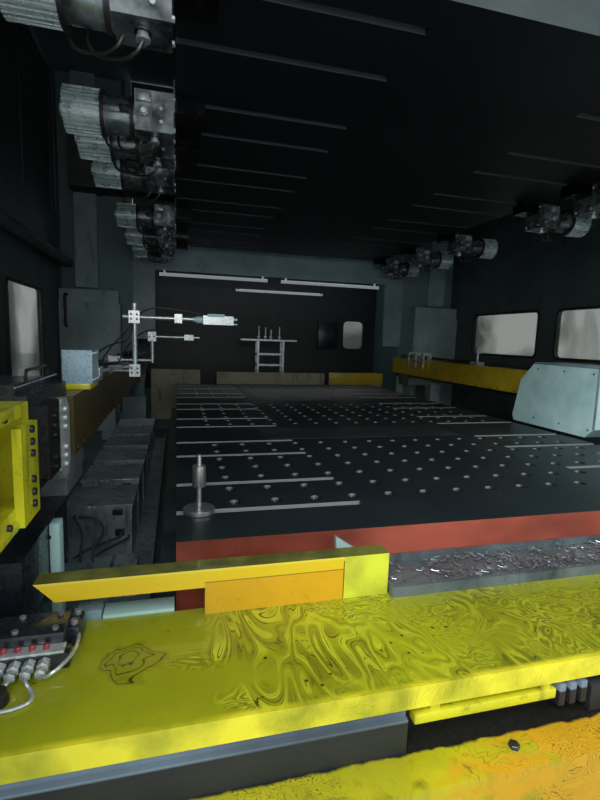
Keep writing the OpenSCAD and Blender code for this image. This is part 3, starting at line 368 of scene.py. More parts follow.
@dataclass(frozen=True)
class BolsterSteel(Finish):
    """Oily milled top over painted sides, with painted highlights on the far slot and hole walls
    and painted shade inside and deep in them.
    """

    face_z: float = 0.9
    # Painted highlight tone of the far slot and hole walls.
    wall_shade_and_highlight: Tone = (0.40, 0.44, 0.45)
    side: Tone = (0.40, 0.085, 0.050)
    half: tuple[float, float] = (1.249, 2.249)

    def dress(self, shader: Shader) -> None:
        """Wires the whole surface."""
        x, y, z = shader.axes()
        _, across, up = (abs(part) for part in shader.normal())
        faded = tuple(0.42 * part for part in self.side)
        painted = shader.noise(2.4, 6, (1, 1, 2.2)).ramp(0.38, 0.66).blend(self.side, faded)
        up = up.ramp(0.4, 0.6)
        within_x, within_y = (
            abs(way).ramp(half, half - 0.001) for way, half in zip((x, y), self.half)
        )
        inside = within_x * within_y
        depth = abs(z - self.face_z)
        # Painted highlight masks: slot on the far slot walls, glint on the far walls of the pin
        # holes, both fading with depth.
        slot = across.ramp(0.9990, 0.9998) * depth.ramp(0.02, 0.05, 1, 0.1)
        glint = across.ramp(0.80, 0.97, 0.04, 0.9) * depth.ramp(0.004, 0.014, 1, 0.06)
        # Painted shade: the slot and hole walls inside the outline turn near black; the outer sides
        # keep their red paint.
        wall_shade_and_highlight = inside.blend(painted, (0.012, 0.014, 0.015))
        wall_shade_and_highlight = ((slot | glint) * inside).blend(wall_shade_and_highlight, self.wall_shade_and_highlight)
        # Painted shade deep in the slots and holes.
        wall_shade_and_highlight = (inside * depth.ramp(0.045, 0.06)).blend(wall_shade_and_highlight, (0.02, 0.02, 0.02))
        grain = shader.noise(self.grain, 4, self.lie)
        shader.set(
            Base_Color=up.blend(wall_shade_and_highlight, self.colour(shader)),
            Metallic=(up | inside) * self.metal,
            Roughness=grain.ramp(0.3, 0.7, self.rough - 0.1, self.rough + 0.15),
        )
        shader.relief(grain, self.depth, 0.3)


@dataclass(frozen=True)
class GuardPaint(Finish):
    """Guard bar: olive top, yellow then orange face and a bright yellow-green end block."""

    step_x: float = -1.179
    band_z: float = 0.866
    block_x: float = -0.808
    yellow: Tone = (0.80, 0.56, 0.012)
    upper_band_tone: Tone = (0.85, 0.80, 0.12)

    def dress(self, shader: Shader) -> None:
        """Wires the whole surface."""
        x, _, z = shader.axes()
        olive = shader.noise(14, 5).ramp(0.42, 0.6).blend((0.20, 0.20, 0.04), (0.11, 0.115, 0.03))
        lime = shader.noise(10, 4).ramp(0.4, 0.7).blend((0.72, 0.80, 0.05), (0.5, 0.5, 0.04))
        line = z.ramp(self.band_z - 0.003, self.band_z - 0.001)
        band = z.ramp(self.band_z, self.band_z + 0.001) | x.ramp(self.step_x, self.step_x - 0.002)
        # Lighter band along the upper edge of the face.
        upper_band = z.ramp(self.band_z + 0.026, self.band_z + 0.034)
        face = (line * 0.7).blend(self.colour(shader), (0.10, 0.04, 0.008))
        face = (upper_band * 0.7).blend(band.blend(face, self.yellow), self.upper_band_tone)
        front = x.ramp(self.block_x, self.block_x + 0.002).blend(face, lime)
        shader.set(
            Base_Color=shader.normal()[2].ramp(0.4, 0.6).blend(front, olive),
            Coat_Weight=0.3,
            Roughness=shader.noise(40, 3).ramp(0.3, 0.7, 0.3, 0.55),
        )
        shader.relief(shader.noise(60, 4), 0.0008, 0.4)


@dataclass(frozen=True)
class LedgePaint(Finish):
    """Smeared yellow beam, orange to the right, with a near-black painted shadow behind the guide
    rail's face.
    """

    shade_y: float = -2.772
    turn_x: float = -0.22
    orange: Tone = (0.60, 0.33, 0.012)

    def colour(self, shader: Shader) -> Field:
        """Returns the colour by the place across and along the beam."""
        x, y, _ = shader.axes()
        right = (x + shader.noise(9, 3, twist=1)).ramp(self.turn_x, self.turn_x + 0.2)
        paint = right.blend(super().colour(shader), self.orange)
        strokes = abs(shader.noise(5, 3, (1, 2, 1), 2).waves(70))
        smeared = strokes.ramp(0.4, 0.1) * shader.noise(4, 4).ramp(0.45, 0.55, 0, 0.8)
        paint = smeared.blend(paint, self.dirt)
        # Painted shadow: near black behind the plane of the guide rail's face, with a ragged edge.
        edge = y + shader.noise(25, 3).ramp(0.3, 0.7, -0.004, 0.004)
        return edge.ramp(self.shade_y - 0.006, self.shade_y).blend(paint, (0.012, 0.012, 0.010))


@dataclass(frozen=True)
class RailSteel(Finish):
    """Dark oily rail with a painted highlight along its upper edge."""

    edge_z: float = 0.7075
    # Tone of the painted highlight along the upper edge.
    worn: Tone = (0.16, 0.22, 0.28)

    def colour(self, shader: Shader) -> Field:
        """Returns the colour, with a painted highlight close to the upper edge."""
        band = shader.axes()[2].ramp(self.edge_z - 0.008, self.edge_z - 0.004)
        broken = shader.noise(3, 4, (1, 0.2, 0.2)).ramp(0.3, 0.6, 0.4, 1)
        return (band * broken).blend(super().colour(shader), self.worn)


@dataclass(frozen=True)
class TwoTone(Finish):
    """Paint or metal with another tone on the near side of a plane across the feed direction."""

    edge_y: float = 0.0
    near: Tone = (0.02, 0.02, 0.02)

    def colour(self, shader: Shader) -> Field:
        """Returns the colour, with the near tone before the plane."""
        past = shader.axes()[1].ramp(self.edge_y, self.edge_y + 0.0002)
        return past.blend(self.near, super().colour(shader))


@dataclass(frozen=True)
class ClampCasting(Finish):
    """Bright oily casting with near-black painted shade on its jaws under the slide."""

    jaw_x: float = 1.256
    # Near-black painted shade for the jaws under the slide.
    jaw_shade: Tone = (0.006, 0.007, 0.009)

    def colour(self, shader: Shader) -> Field:
        """Returns the colour, with painted shade inward of the slide's edge."""
        inward = abs(shader.axes()[0]).ramp(self.jaw_x, self.jaw_x - 0.001)
        return inward.blend(super().colour(shader), self.jaw_shade)


@dataclass(frozen=True)
class WindowGlass(Finish):
    """Dusty tinted pane, darker in its lower part."""

    clear_z: float = 1.35

    def dress(self, shader: Shader) -> None:
        """Wires the whole surface."""
        dust = shader.noise(0.9, 3, (1, 1.3, 1.0), 0.4)
        low = shader.axes()[2].ramp(self.clear_z + 0.12, self.clear_z - 0.12)
        shader.set(
            Base_Color=dust.ramp(0.4, 0.7).blend(self.tone, self.shade),
            Roughness=dust.ramp(0.3, 0.7, 0.08, 0.3),
            Alpha=dust.ramp(0.42, 0.58, 0.48, 0.80) + low * 0.05,
        )


@dataclass(frozen=True)
class LampGlow(Finish):
    """Frosted lamp tube that gives light."""

    power: float = 0.28

    def dress(self, shader: Shader) -> None:
        """Wires the whole surface."""
        glow = shader.noise(8, 3).ramp(0.2, 0.8, 0.85, 1).blend(self.shade, self.tone)
        shader.set(
            Base_Color=glow, Emission_Color=glow, Emission_Strength=self.power, Roughness=0.4
        )


class Look:
    """Every finish on the press."""

    COLUMN = Finish(
        "column_paint", (0.17, 0.26, 0.27), (0.12, 0.19, 0.20), (0.05, 0.07, 0.07),
        dirty=0.3, rough=0.5, patch=1.3,
    )
    BED = Finish("bed_paint", (0.08, 0.13, 0.13), (0.05, 0.085, 0.09), dirty=0.6, rough=0.4)
    STEEL = Finish(
        "turned_steel", (0.58, 0.59, 0.6), (0.42, 0.43, 0.44),
        metal=0.9, rough=0.32, grain=160, lie=(1, 1, 5),
    )
    BOLSTER = BolsterSteel(
        "bolster_steel", (0.026, 0.040, 0.046), (0.015, 0.023, 0.029), (0.009, 0.008, 0.012),
        dirty=0.3, metal=0.35, rough=0.42, patch=1.6, grain=130,
    )
    SLIDE = BolsterSteel(
        "slide_steel", (0.005, 0.008, 0.012), (0.0025, 0.004, 0.007), (0.003, 0.003, 0.004),
        dirty=0.3, metal=0.2, rough=0.5, patch=1.6, grain=120, face_z=2.492,
        # Dim painted highlight on the far slot walls of the slide's underside, with painted shade
        # inside and deep in them.
        wall_shade_and_highlight=(0.05, 0.062, 0.068), side=(0.055, 0.075, 0.076), half=(1.249, 2.174),
    )
    GREASY = GreasyPaint(
        "greasy_yellow", (0.38, 0.41, 0.010), (0.25, 0.27, 0.008), (0.035, 0.036, 0.005)
    )
    YELLOW = Finish(
        "yellow_paint", (0.62, 0.60, 0.013), (0.42, 0.42, 0.012), (0.06, 0.05, 0.01),
        dirty=0.55, rough=0.35, coat=0.3, patch=5,
    )
    LEDGE = LedgePaint(
        "ledge_yellow", (0.50, 0.46, 0.012), (0.32, 0.31, 0.01), (0.05, 0.045, 0.008),
        dirty=0.5, rough=0.35, coat=0.3, patch=5,
    )
    GUARD = GuardPaint(
        "guard_paint", (0.78, 0.42, 0.010), (0.62, 0.36, 0.012), (0.12, 0.07, 0.01),
        dirty=0.3, patch=4,
    )
    RAIL = RailSteel(
        "rail_steel", (0.014, 0.018, 0.021), (0.007, 0.009, 0.011),
        rough=0.5, grain=60, lie=(0.3, 4, 4), depth=0.0002,
    )
    GREY = Finish(
        "worn_grey", (0.22, 0.24, 0.25), (0.13, 0.15, 0.16), metal=0.3, dirty=0.6, patch=6
    )
    OCHRE = Finish(
        "ochre_paint", (0.80, 0.57, 0.025), (0.52, 0.40, 0.025), (0.06, 0.04, 0.012),
        rough=0.42, patch=4, coat=0.15,
    )
    BLACK = Finish(
        "black_paint", (0.014, 0.019, 0.027), (0.007, 0.010, 0.015), (0.034, 0.036, 0.036),
        dirty=0.25, rough=0.3, patch=5, coat=0.2,
    )
    CABLE = Finish(
        "black_rubber", (0.012, 0.012, 0.013), (0.02, 0.02, 0.021), dirty=0.2, rough=0.42, patch=9
    )
    COVER = Finish(
        "cover_paint", (0.38, 0.50, 0.51), (0.26, 0.36, 0.37), (0.08, 0.09, 0.08), dirty=0.45
    )
    CLAMP = ClampCasting(
        "clamp_casting", (0.27, 0.31, 0.33), (0.035, 0.042, 0.046), (0.012, 0.013, 0.015),
        dirty=0.3, metal=0.6, rough=0.22, patch=13, grain=30, depth=0.0002,
    )
    ALLOY = Finish(
        "cast_alloy", (0.80, 0.92, 0.93), (0.58, 0.68, 0.70), (0.16, 0.18, 0.18),
        dirty=0.05, metal=0.6, rough=0.3, patch=5, grain=25, depth=0.0001,
    )
    SILVER = Finish(
        "machined_silver", (0.62, 0.67, 0.69), (0.46, 0.51, 0.53),
        dirty=0.0, metal=0.6, rough=0.3, patch=9, grain=30, depth=0.0001,
    )
    DOOR = Finish("door_paint", (0.085, 0.12, 0.125), (0.06, 0.085, 0.09), dirty=0.45)
    GLASS = WindowGlass("window_glass", (0.34, 0.44, 0.30), (0.14, 0.21, 0.14))
    SEAL = Finish(
        "window_seal", (0.014, 0.015, 0.015), (0.022, 0.023, 0.023), rough=0.6, patch=7
    )
    HOSE = Finish(
        "ribbed_hose", (0.09, 0.10, 0.108), (0.04, 0.046, 0.05), dirty=0.5, rough=0.5, patch=6
    )
    LAMP = LampGlow("lamp_glow", (0.55, 0.60, 0.66), (0.42, 0.48, 0.54))
    CYAN = Finish(
        "cyan_paint", (0.46, 0.72, 0.72), (0.38, 0.60, 0.60), (0.14, 0.19, 0.18),
        dirty=0.2, patch=5,
    )
    HOOD = Finish(
        "hood_paint", (0.64, 0.92, 0.93), (0.44, 0.70, 0.72), (0.20, 0.32, 0.34),
        dirty=0.15, rough=0.4, patch=5,
    )
    VALVE_BOX = Finish(
        "valve_box_paint", (0.40, 0.56, 0.66), (0.24, 0.36, 0.45), (0.12, 0.17, 0.20),
        dirty=0.0, metal=0.3, rough=0.32, patch=7,
    )
    CHIP_TRAY = Finish(
        "chip_tray_paint", (0.15, 0.19, 0.205), (0.08, 0.105, 0.115), (0.02, 0.024, 0.026),
        dirty=0.5, metal=0.2, rough=0.36, patch=7,
    )
    TRAY = Finish(
        "tray_paint", (0.34, 0.43, 0.45), (0.20, 0.26, 0.28), (0.02, 0.024, 0.026),
        dirty=0.6, metal=0.2, rough=0.36, patch=7,
    )
    VALVE = Finish(
        "valve_blue", (0.22, 0.34, 0.40), (0.15, 0.24, 0.29), (0.04, 0.05, 0.05),
        dirty=0.4, rough=0.35, patch=9,
    )
    BEIGE = Finish("beige_paint", (0.40, 0.37, 0.27), (0.31, 0.29, 0.21), dirty=0.5, patch=5)
    TIE = Finish("tie_beam_paint", (0.30, 0.42, 0.47), (0.20, 0.30, 0.34), rough=0.4)
    # Darker copy of the ochre bar paint: painted shade for the left feed bar.
    BROWN = Finish(
        "shaded_ochre_bar_paint", (0.075, 0.058, 0.014), (0.045, 0.036, 0.012), (0.02, 0.017, 0.01),
        dirty=0.5, rough=0.4, patch=4, coat=0.15,
    )
    SPLICE = TwoTone(
        "splice_alloy", (0.62, 0.66, 0.67), (0.46, 0.50, 0.51), (0.10, 0.10, 0.10),
        dirty=0.3, metal=0.5, rough=0.36, patch=8, edge_y=-2.1115,
    )
    GUARD_DARK = Finish(
        "exit_guard_paint", (0.020, 0.024, 0.026), (0.012, 0.014, 0.016),
        dirty=0.2, rough=0.5, patch=5,
    )
    SHEET = Finish(
        "bare_sheet", (0.052, 0.050, 0.060), (0.036, 0.035, 0.043), (0.02, 0.02, 0.022),
        dirty=0.3, metal=0.3, rough=0.38,
    )
    RED = Finish(
        "red_plugs", (0.34, 0.05, 0.06), (0.22, 0.03, 0.04), dirty=0.4, rough=0.35, patch=20
    )
    CHIP = Finish(
        "bright_chips", (0.60, 0.66, 0.70), (0.22, 0.26, 0.30), metal=0.8, rough=0.25, patch=40
    )
    BELT = Finish("belt_rubber", (0.015, 0.015, 0.015), (0.028, 0.028, 0.028), rough=0.6, patch=8)


CARRIED_OVER = {
    Look.COLUMN: (
        "upright_near_left", "upright_near_right", "upright_far_left", "upright_far_right",
        "crown", "flywheel_bearings",
    ),
    Look.BED: ("bed", "outfeed_beam"),
    Look.STEEL: ("tie_rods", "plungers", "flywheel", "motor_pulley"),
    Look.BOLSTER: ("bolster",),
    Look.SLIDE: ("slide",),
    Look.GREASY: ("infeed_beam",),
    Look.YELLOW: ("left_bar_casting", "deck_railing"),
    Look.LEDGE: ("infeed_lower_beam",),
    Look.GUARD: ("guard_bar",),
    Look.RAIL: ("infeed_guide_rail",),
    Look.GREY: (
        "left_lift_slides", "left_clamp_slides", "right_lift_slides", "right_clamp_slides",
    ),
    # Left bar: ochre bar paint darkened as painted shade.
    Look.BROWN: ("left_bar",),
    Look.OCHRE: ("right_bar",),
    Look.BLACK: (
        "left_bar_end", "right_bar_end", "lift_unit_near_left", "lift_unit_near_right",
        "valve_manifold",
    ),
    Look.COVER: ("gib_rails", "lift_unit_far_left", "lift_unit_far_right"),
    Look.CLAMP: ("left_die_clamps", "right_die_clamps"),
    Look.ALLOY: ("left_clamp_motors", "right_clamp_motors"),
    Look.SPLICE: ("left_splice_plates",),
    Look.GUARD_DARK: ("exit_guard",),
    Look.SILVER: ("part_stand", "left_tooling", "right_tooling"),
    Look.DOOR: ("door_frames", "left_door", "right_door"),
    Look.GLASS: ("left_door_glass", "right_door_glass", "exit_guard_glass"),
    Look.HOSE: ("hoses",),
    Look.LAMP: ("lamps",),
    Look.HOOD: ("right_bar_hood",),
    Look.VALVE: ("main_motor",),
    Look.VALVE_BOX: ("left_valve_box",),
    Look.TRAY: ("cable_tray",),
    Look.CHIP_TRAY: ("chip_tray",),
    Look.BEIGE: ("outfeed_drive_box", "outfeed_panels"),
    Look.TIE: ("far_window_frame",),
    Look.BELT: ("drive_belts",),
}


def finish_cad_nodes() -> None:
    """Gives every carried-over node its finish."""
    for finish, names in CARRIED_OVER.items():
        for name in names:
            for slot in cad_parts[name].material_slots:
                slot.material = finish.material()
            LOG.info("%s finished in %s", name, finish.name)


# ---- Modelling


@contextmanager
def editing(piece: bpy.types.Object) -> Iterator[None]:
    """Opens one object alone in edit mode, with all of it selected."""
    bpy.ops.object.select_all(action="DESELECT")
    piece.select_set(True)
    bpy.context.view_layer.objects.active = piece
    bpy.ops.object.mode_set(mode="EDIT")
    bpy.ops.mesh.select_all(action="SELECT")
    yield
    bpy.ops.object.mode_set(mode="OBJECT")


def settle(piece: bpy.types.Object) -> None:
    """Puts an object's place, turn and size into its mesh."""
    bpy.ops.object.select_all(action="DESELECT")
    piece.select_set(True)
    bpy.context.view_layer.objects.active = piece
    bpy.ops.object.transform_apply(location=True, rotation=True, scale=True)


@dataclass
class Piece:
    """One piece of the press, joined from the solids that its methods model.

    Attributes:
        name: The piece's own name.
        finish: Its finish.
        slot: The record's material slot; not used.
        body: The body that it rides on.
        place: What turns its millimetres into a place in the row frame.
        parts: The solids so far.
    """

    name: str
    finish: Finish
    slot: str
    body: str = "frame"
    place: Callable[[float, float, float], Vector] = at
    parts: list[bpy.types.Object] = field(default_factory=list)

    def keep(self, made: bpy.types.Object) -> bpy.types.Object:
        """Adds a solid to the piece and returns it."""
        self.parts.append(made)
        return made

    def block(self, corner: Point, opposite: Point, bevel: float = 3.0) -> bpy.types.Object:
        """Models a block with bevelled edges.

        Args:
            corner: One corner.
            opposite: The corner opposite to it.
            bevel: The bevel's width, in millimetres.

        Returns:
            The block.
        """
        ends = self.place(*corner), self.place(*opposite)
        low, high = (Vector(map(pick, *ends)) for pick in (min, max))
        bpy.ops.mesh.primitive_cube_add(size=1, location=(low + high) / 2)
        made = bpy.context.object
        made.scale = high - low
        settle(made)
        width = min(bevel * MM, 0.3 * min(high - low))
        with editing(made):
            bpy.ops.mesh.bevel(offset=width, segments=2, affect="EDGES")
        return self.keep(made)

    def turned(
        self, start: Point, way: Vector, profile: Sequence[tuple[float, float]], sides: int = 24
    ) -> bpy.types.Object:
        """Models a turned solid by extruding a disc along its axis.

        Args:
            start: Where the axis starts.
            way: The axis's direction.
            profile: Radius and distance along the axis at each step, in millimetres.
            sides: Faces round it.

        Returns:
            The solid.
        """
        radius, along = profile[0]
        bpy.ops.mesh.primitive_circle_add(
            vertices=sides, radius=radius * MM, fill_type="NGON", location=(0, 0, along * MM)
        )
        made = bpy.context.object
        settle(made)
        with editing(made):
            bpy.ops.mesh.flip_normals()
            for wide, far in profile[1:]:
                rise = (0, 0, (far - along) * MM)
                bpy.ops.mesh.extrude_region_move(TRANSFORM_OT_translate={"value": rise})
                share = (wide / radius,) * 3
                bpy.ops.transform.resize(value=share, center_override=(0, 0, far * MM))
                radius, along = wide, far
            bpy.ops.mesh.select_all(action="SELECT")
            bpy.ops.mesh.normals_make_consistent(inside=False)
        turn = way.to_track_quat("Z", "Y").to_matrix().to_4x4()
        made.matrix_world = Matrix.Translation(self.place(*start)) @ turn
        settle(made)
        return self.keep(made)

    def rod(self, start: Point, end: Point, radius: float, sides: int = 16) -> bpy.types.Object:
        """Models a round bar with chamfered ends, radius in millimetres."""
        way = self.place(*end) - self.place(*start)
        long = way.length / MM
        edge = min(radius * 0.2, 2.0, long * 0.2)
        steps = ((radius - edge, 0), (radius, edge), (radius, long - edge), (radius - edge, long))
        return self.turned(start, way, steps, sides)

    def bolts(
        self, places: Sequence[Point], way: Vector, radius: float, tall: float, socket: bool = False
    ) -> None:
        """Models one bolt head and copies it to every place.

        Args:
            places: Where each head sits.
            way: The direction that the heads stand out in.
            radius: The head's radius, in millimetres.
            tall: The head's height, in millimetres.
            socket: True for a round head with a hexagon socket.
        """
        sides = 12 if socket else 6
        steps = [(radius, -1), (radius, tall * 0.85), (radius * 0.88, tall)]
        if socket:
            steps += [(radius * 0.5, tall), (radius * 0.45, tall * 0.4)]
        first = self.turned(places[0], way, steps, sides)
        for place in places[1:]:
            move = self.place(*place) - self.place(*places[0])
            self.copy(first).location = first.location + move

    def copy(self, made: bpy.types.Object) -> bpy.types.Object:
        """Copies a solid with its mesh."""
        copy = made.copy()
        copy.data = made.data.copy()
        bpy.context.collection.objects.link(copy)
        return self.keep(copy)

    def tube(self, points: Sequence[Point], radius: float, sides: int = 8) -> bpy.types.Object:
        """Models a round tube along smooth points, radius in millimetres."""
        bpy.ops.curve.primitive_bezier_curve_add()
        made = bpy.context.object
        curve = made.data
        curve.splines.clear()
        spline = curve.splines.new("BEZIER")
        spline.bezier_points.add(len(points) - 1)
        for knot, point in zip(spline.bezier_points, points):
            knot.co = self.place(*point)
            knot.handle_left_type = knot.handle_right_type = "AUTO"
        curve.dimensions = "3D"
        curve.bevel_depth = radius * MM
        curve.bevel_resolution = max(0, sides // 4 - 1)
        curve.resolution_u = 6
        curve.use_fill_caps = True
        bpy.ops.object.convert(target="MESH")
        return self.keep(bpy.context.object)

    def plate(self, outline: Sequence[Point], rise: Vector) -> bpy.types.Object:
        """Models a plate by extruding a flat outline by rise, in metres."""
        bpy.ops.mesh.primitive_circle_add(vertices=len(outline), radius=1, fill_type="NGON")
        made = bpy.context.object
        for vertex, corner in zip(made.data.vertices, outline):
            vertex.co = self.place(*corner)
        with editing(made):
            bpy.ops.mesh.extrude_region_move(TRANSFORM_OT_translate={"value": rise})
            bpy.ops.mesh.select_all(action="SELECT")
            bpy.ops.mesh.normals_make_consistent(inside=False)
        return self.keep(made)

    def ring(self, middle: Point, long: float, tall: float) -> bpy.types.Object:
        """Models a rounded rubber ring that stands in the y-z plane.

        Args:
            middle: Its middle.
            long: Its length along the feed direction, in millimetres.
            tall: Its height, in millimetres.

        Returns:
            The ring.
        """
        bpy.ops.curve.primitive_bezier_circle_add(radius=1)
        made = bpy.context.object
        curve = made.data
        curve.splines.clear()
        spline = curve.splines.new("POLY")
        spline.points.add(RING_SIDES - 1)
        x, y, z = middle
        for turn, knot in enumerate(spline.points):
            angle = 2 * math.pi * (turn + 0.5) / RING_SIDES
            across, up = math.cos(angle), math.sin(angle)
            corner_y = y + math.copysign(long / 2 - RING_CORNER, across) + RING_CORNER * across
            corner_z = z + math.copysign(tall / 2 - RING_CORNER, up) + RING_CORNER * up
            knot.co = (*self.place(x, corner_y, corner_z), 1)
        spline.use_cyclic_u = True
        curve.dimensions = "3D"
        curve.bevel_depth = RING_RADIUS * MM
        curve.bevel_resolution = 2
        bpy.ops.object.convert(target="MESH")
        return self.keep(bpy.context.object)

    def done(self) -> bpy.types.Object:
        """Joins the solids, finishes the piece and sets it on its body."""
        bpy.ops.object.select_all(action="DESELECT")
        for part in self.parts:
            part.select_set(True)
        bpy.context.view_layer.objects.active = self.parts[0]
        if len(self.parts) > 1:
            bpy.ops.object.join()
        made = bpy.context.view_layer.objects.active
        settle(made)
        bpy.ops.object.shade_smooth_by_angle(angle=SMOOTH_ANGLE)
        made.name = self.name
        made.data.name = self.name
        made.data.materials.clear()
        made.data.materials.append(self.finish.material())
        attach(made, self.body)
        LOG.info("%s rides on %s", self.name, self.body)
        return made


# ---- Sub-assemblies


@dataclass
class InfeedDress:
    """Fittings on the infeed beams, the guard bar, the chip tray and the bolster."""

    chips: int = 420
    seed: int = 11

    def build(self) -> None:
        """Builds every piece of the infeed end."""
        self.strip()
        self.manifold()
        self.chip_bed()
        self.gusset()
        self.beam_bolts()
        self.on_the_bolster()

    def on_the_bolster(self) -> None:
        """Hold-down T-bolt in the first slot row and a thin bare sheet."""
        piece = Piece("hold_down_bolt", Look.STEEL, "tool_silver")
        steps = (
            (50, 0), (52, 2), (52, 14), (50, 16), (16, 18), (9, 22), (8, 88), (21, 88), (22, 90),
            (22, 158), (20, 160), (8, 160), (8, 194), (6, 196),
        )
        piece.turned((73, 0, 0), Z, steps, 32)
        piece.done()
        piece = Piece("bare_sheet", Look.SHEET, "grey_steel")
        piece.block((495, 1090, 0.2), (1780, 1430, 2.6), 0.5)
        piece.done()

    def strip(self) -> None:
        """Yellow strip, fingers and a dark bar in the recess right of the guide rail."""
        piece = Piece("infeed_strip", Look.YELLOW, "yellow_paint")
        piece.block((482, -742, -212), (838, -716, -188))
        for x in (520, 800):
            piece.block((x, -738, -190), (x + 24, -720, -170))
        piece.done()
        piece = Piece("infeed_fingers", Look.RAIL, "grey_steel")
        for x in (848, 878, 908):
            piece.block((x, -742, -236), (x + 18, -690, -182))
        piece.block((940, -740, -268), (2960, -712, -200))
        piece.done()

    def manifold(self) -> None:
        """Valve manifold: a black block with a row of hexagon fittings under red caps."""
        block = Piece("manifold_block", Look.BLACK, "black_paint")
        block.block((-490, -510, -119.8), (-232, -424, -56))
        block.block((-490, -540, -119.8), (-216, -509, -84))
        block.block((-238, -470, -119.8), (-207, -400, -72), 8)
        row = range(-262, -262 - 8 * 27, -27)
        for x in row:
            block.turned((x, -509, -94), -Y, ((9, -2), (9, 12)), 12)
        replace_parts(block.done(), "valve_manifold")
        piece = Piece("manifold_fittings", Look.SILVER, "tool_silver")
        piece.block((-488, -541, -83.8), (-226, -511, -78), 1)
        steps = ((8, 0), (12.5, 1), (12.5, 21), (8, 23), (8, 30), (11, 31), (11, 40), (6, 42))
        for x in row:
            piece.turned((x, -541, -98), -Y, steps, 6)
        piece.tube([
            (-262, -580, -98), (-250, -588, -98), (-238, -588, -92), (-222, -574, -86),
            (-208, -540, -84), (-206, -500, -86), (-210, -470, -90),
        ], 4, 12)
        piece.tube([
            (-289, -582, -98), (-284, -592, -102), (-276, -600, -110), (-268, -612, -115.5),
            (-268, -628, -115.5), (-285, -640, -115.5), (-330, -646, -115.5),
            (-420, -652, -115.5), (-480, -658, -115.5),
        ], 4, 12)
        piece.tube([
            (-316, -582, -98), (-320, -594, -100), (-345, -600, -98), (-400, -596, -100),
            (-480, -600, -104),
        ], 4, 12)
        piece.done()
        piece = Piece("manifold_plugs", Look.RED, "yellow_paint")
        for x in row:
            piece.turned((x, -526, -79), Z, ((5, 0), (6.5, 2), (6.5, 9), (4, 12)), 12)
        piece.done()
        piece = Piece("manifold_bolts", Look.GREY, "grey_steel")
        lid = [(x, y, -56) for x in (-470, -400, -330, -252) for y in (-440, -494)]
        piece.bolts(lid, Z, 7, 6, True)
        piece.bolts([(-222, y, -72) for y in (-455, -415)], Z, 8, 10, True)
        piece.done()
        piece = Piece("round_connectors", Look.CABLE, "black_paint")
        cap = ((24, 0), (24, 10), (20, 12), (20, 24), (12, 26))
        for x in (-330, -400, -465):
            piece.turned((x, -616, -119.5), Z, cap, 20)
        piece.done()
        piece = Piece("beam_end_blocks", Look.CYAN, "cyan_paint")
        piece.block((-176, -369.5, -150), (-4, -312, -112), 2)
        piece.done()
        piece = Piece("beam_end_bracket", Look.VALVE, "frame_paint")
        piece.block((-236, -369.5, -160), (-178, -318, -96), 3)
        piece.done()

    def chip_bed(self) -> None:
        """Bright metal chips lying in the tray."""
        rng = random.Random(self.seed)
        piece = Piece("tray_chips", Look.CHIP, "tool_silver")
        bpy.ops.mesh.primitive_grid_add(x_subdivisions=3, y_subdivisions=1, size=0.02)
        chip = bpy.context.object
        for vertex in chip.data.vertices:
            vertex.co.y *= 0.35
            vertex.co.z = 18 * vertex.co.x**2
        with editing(chip):
            bpy.ops.mesh.solidify(thickness=0.0012)
        for _ in range(self.chips):
            x = 600 + abs(rng.gauss(0.42, 0.25)) * 1500
            y = rng.uniform(-405, -245)
            size = rng.uniform(0.5, 1.3)
            turn = Matrix.Rotation(rng.uniform(0, 6.28), 4, "Z")
            tilt = Matrix.Rotation(rng.uniform(-0.6, 0.6), 4, "X")
            place = Matrix.Translation(at(min(x, 2300), y, -108 + rng.uniform(0, 10)))
            piece.copy(chip).matrix_world = place @ turn @ tilt @ Matrix.Scale(size, 4)
        bpy.data.objects.remove(chip)
        piece.done()

    def gusset(self) -> None:
        """Pale triangular gusset between the bolster and the guard bar."""
        piece = Piece("infeed_gusset", Look.CYAN, "cyan_paint")
        outline = [(478, -244, -101), (600, -244, -101), (471, -244, -13)]
        piece.plate(outline, press(0, 18, 0))
        piece.done()

    def beam_bolts(self) -> None:
        """Bolt heads under the upper beam, along the guide rail."""
        piece = Piece("guide_rail_bolts", Look.BLACK, "black_paint")
        piece.bolts([(x, -782, -270) for x in range(700, 2950, 280)], Z, 12, 9)
        piece.done()


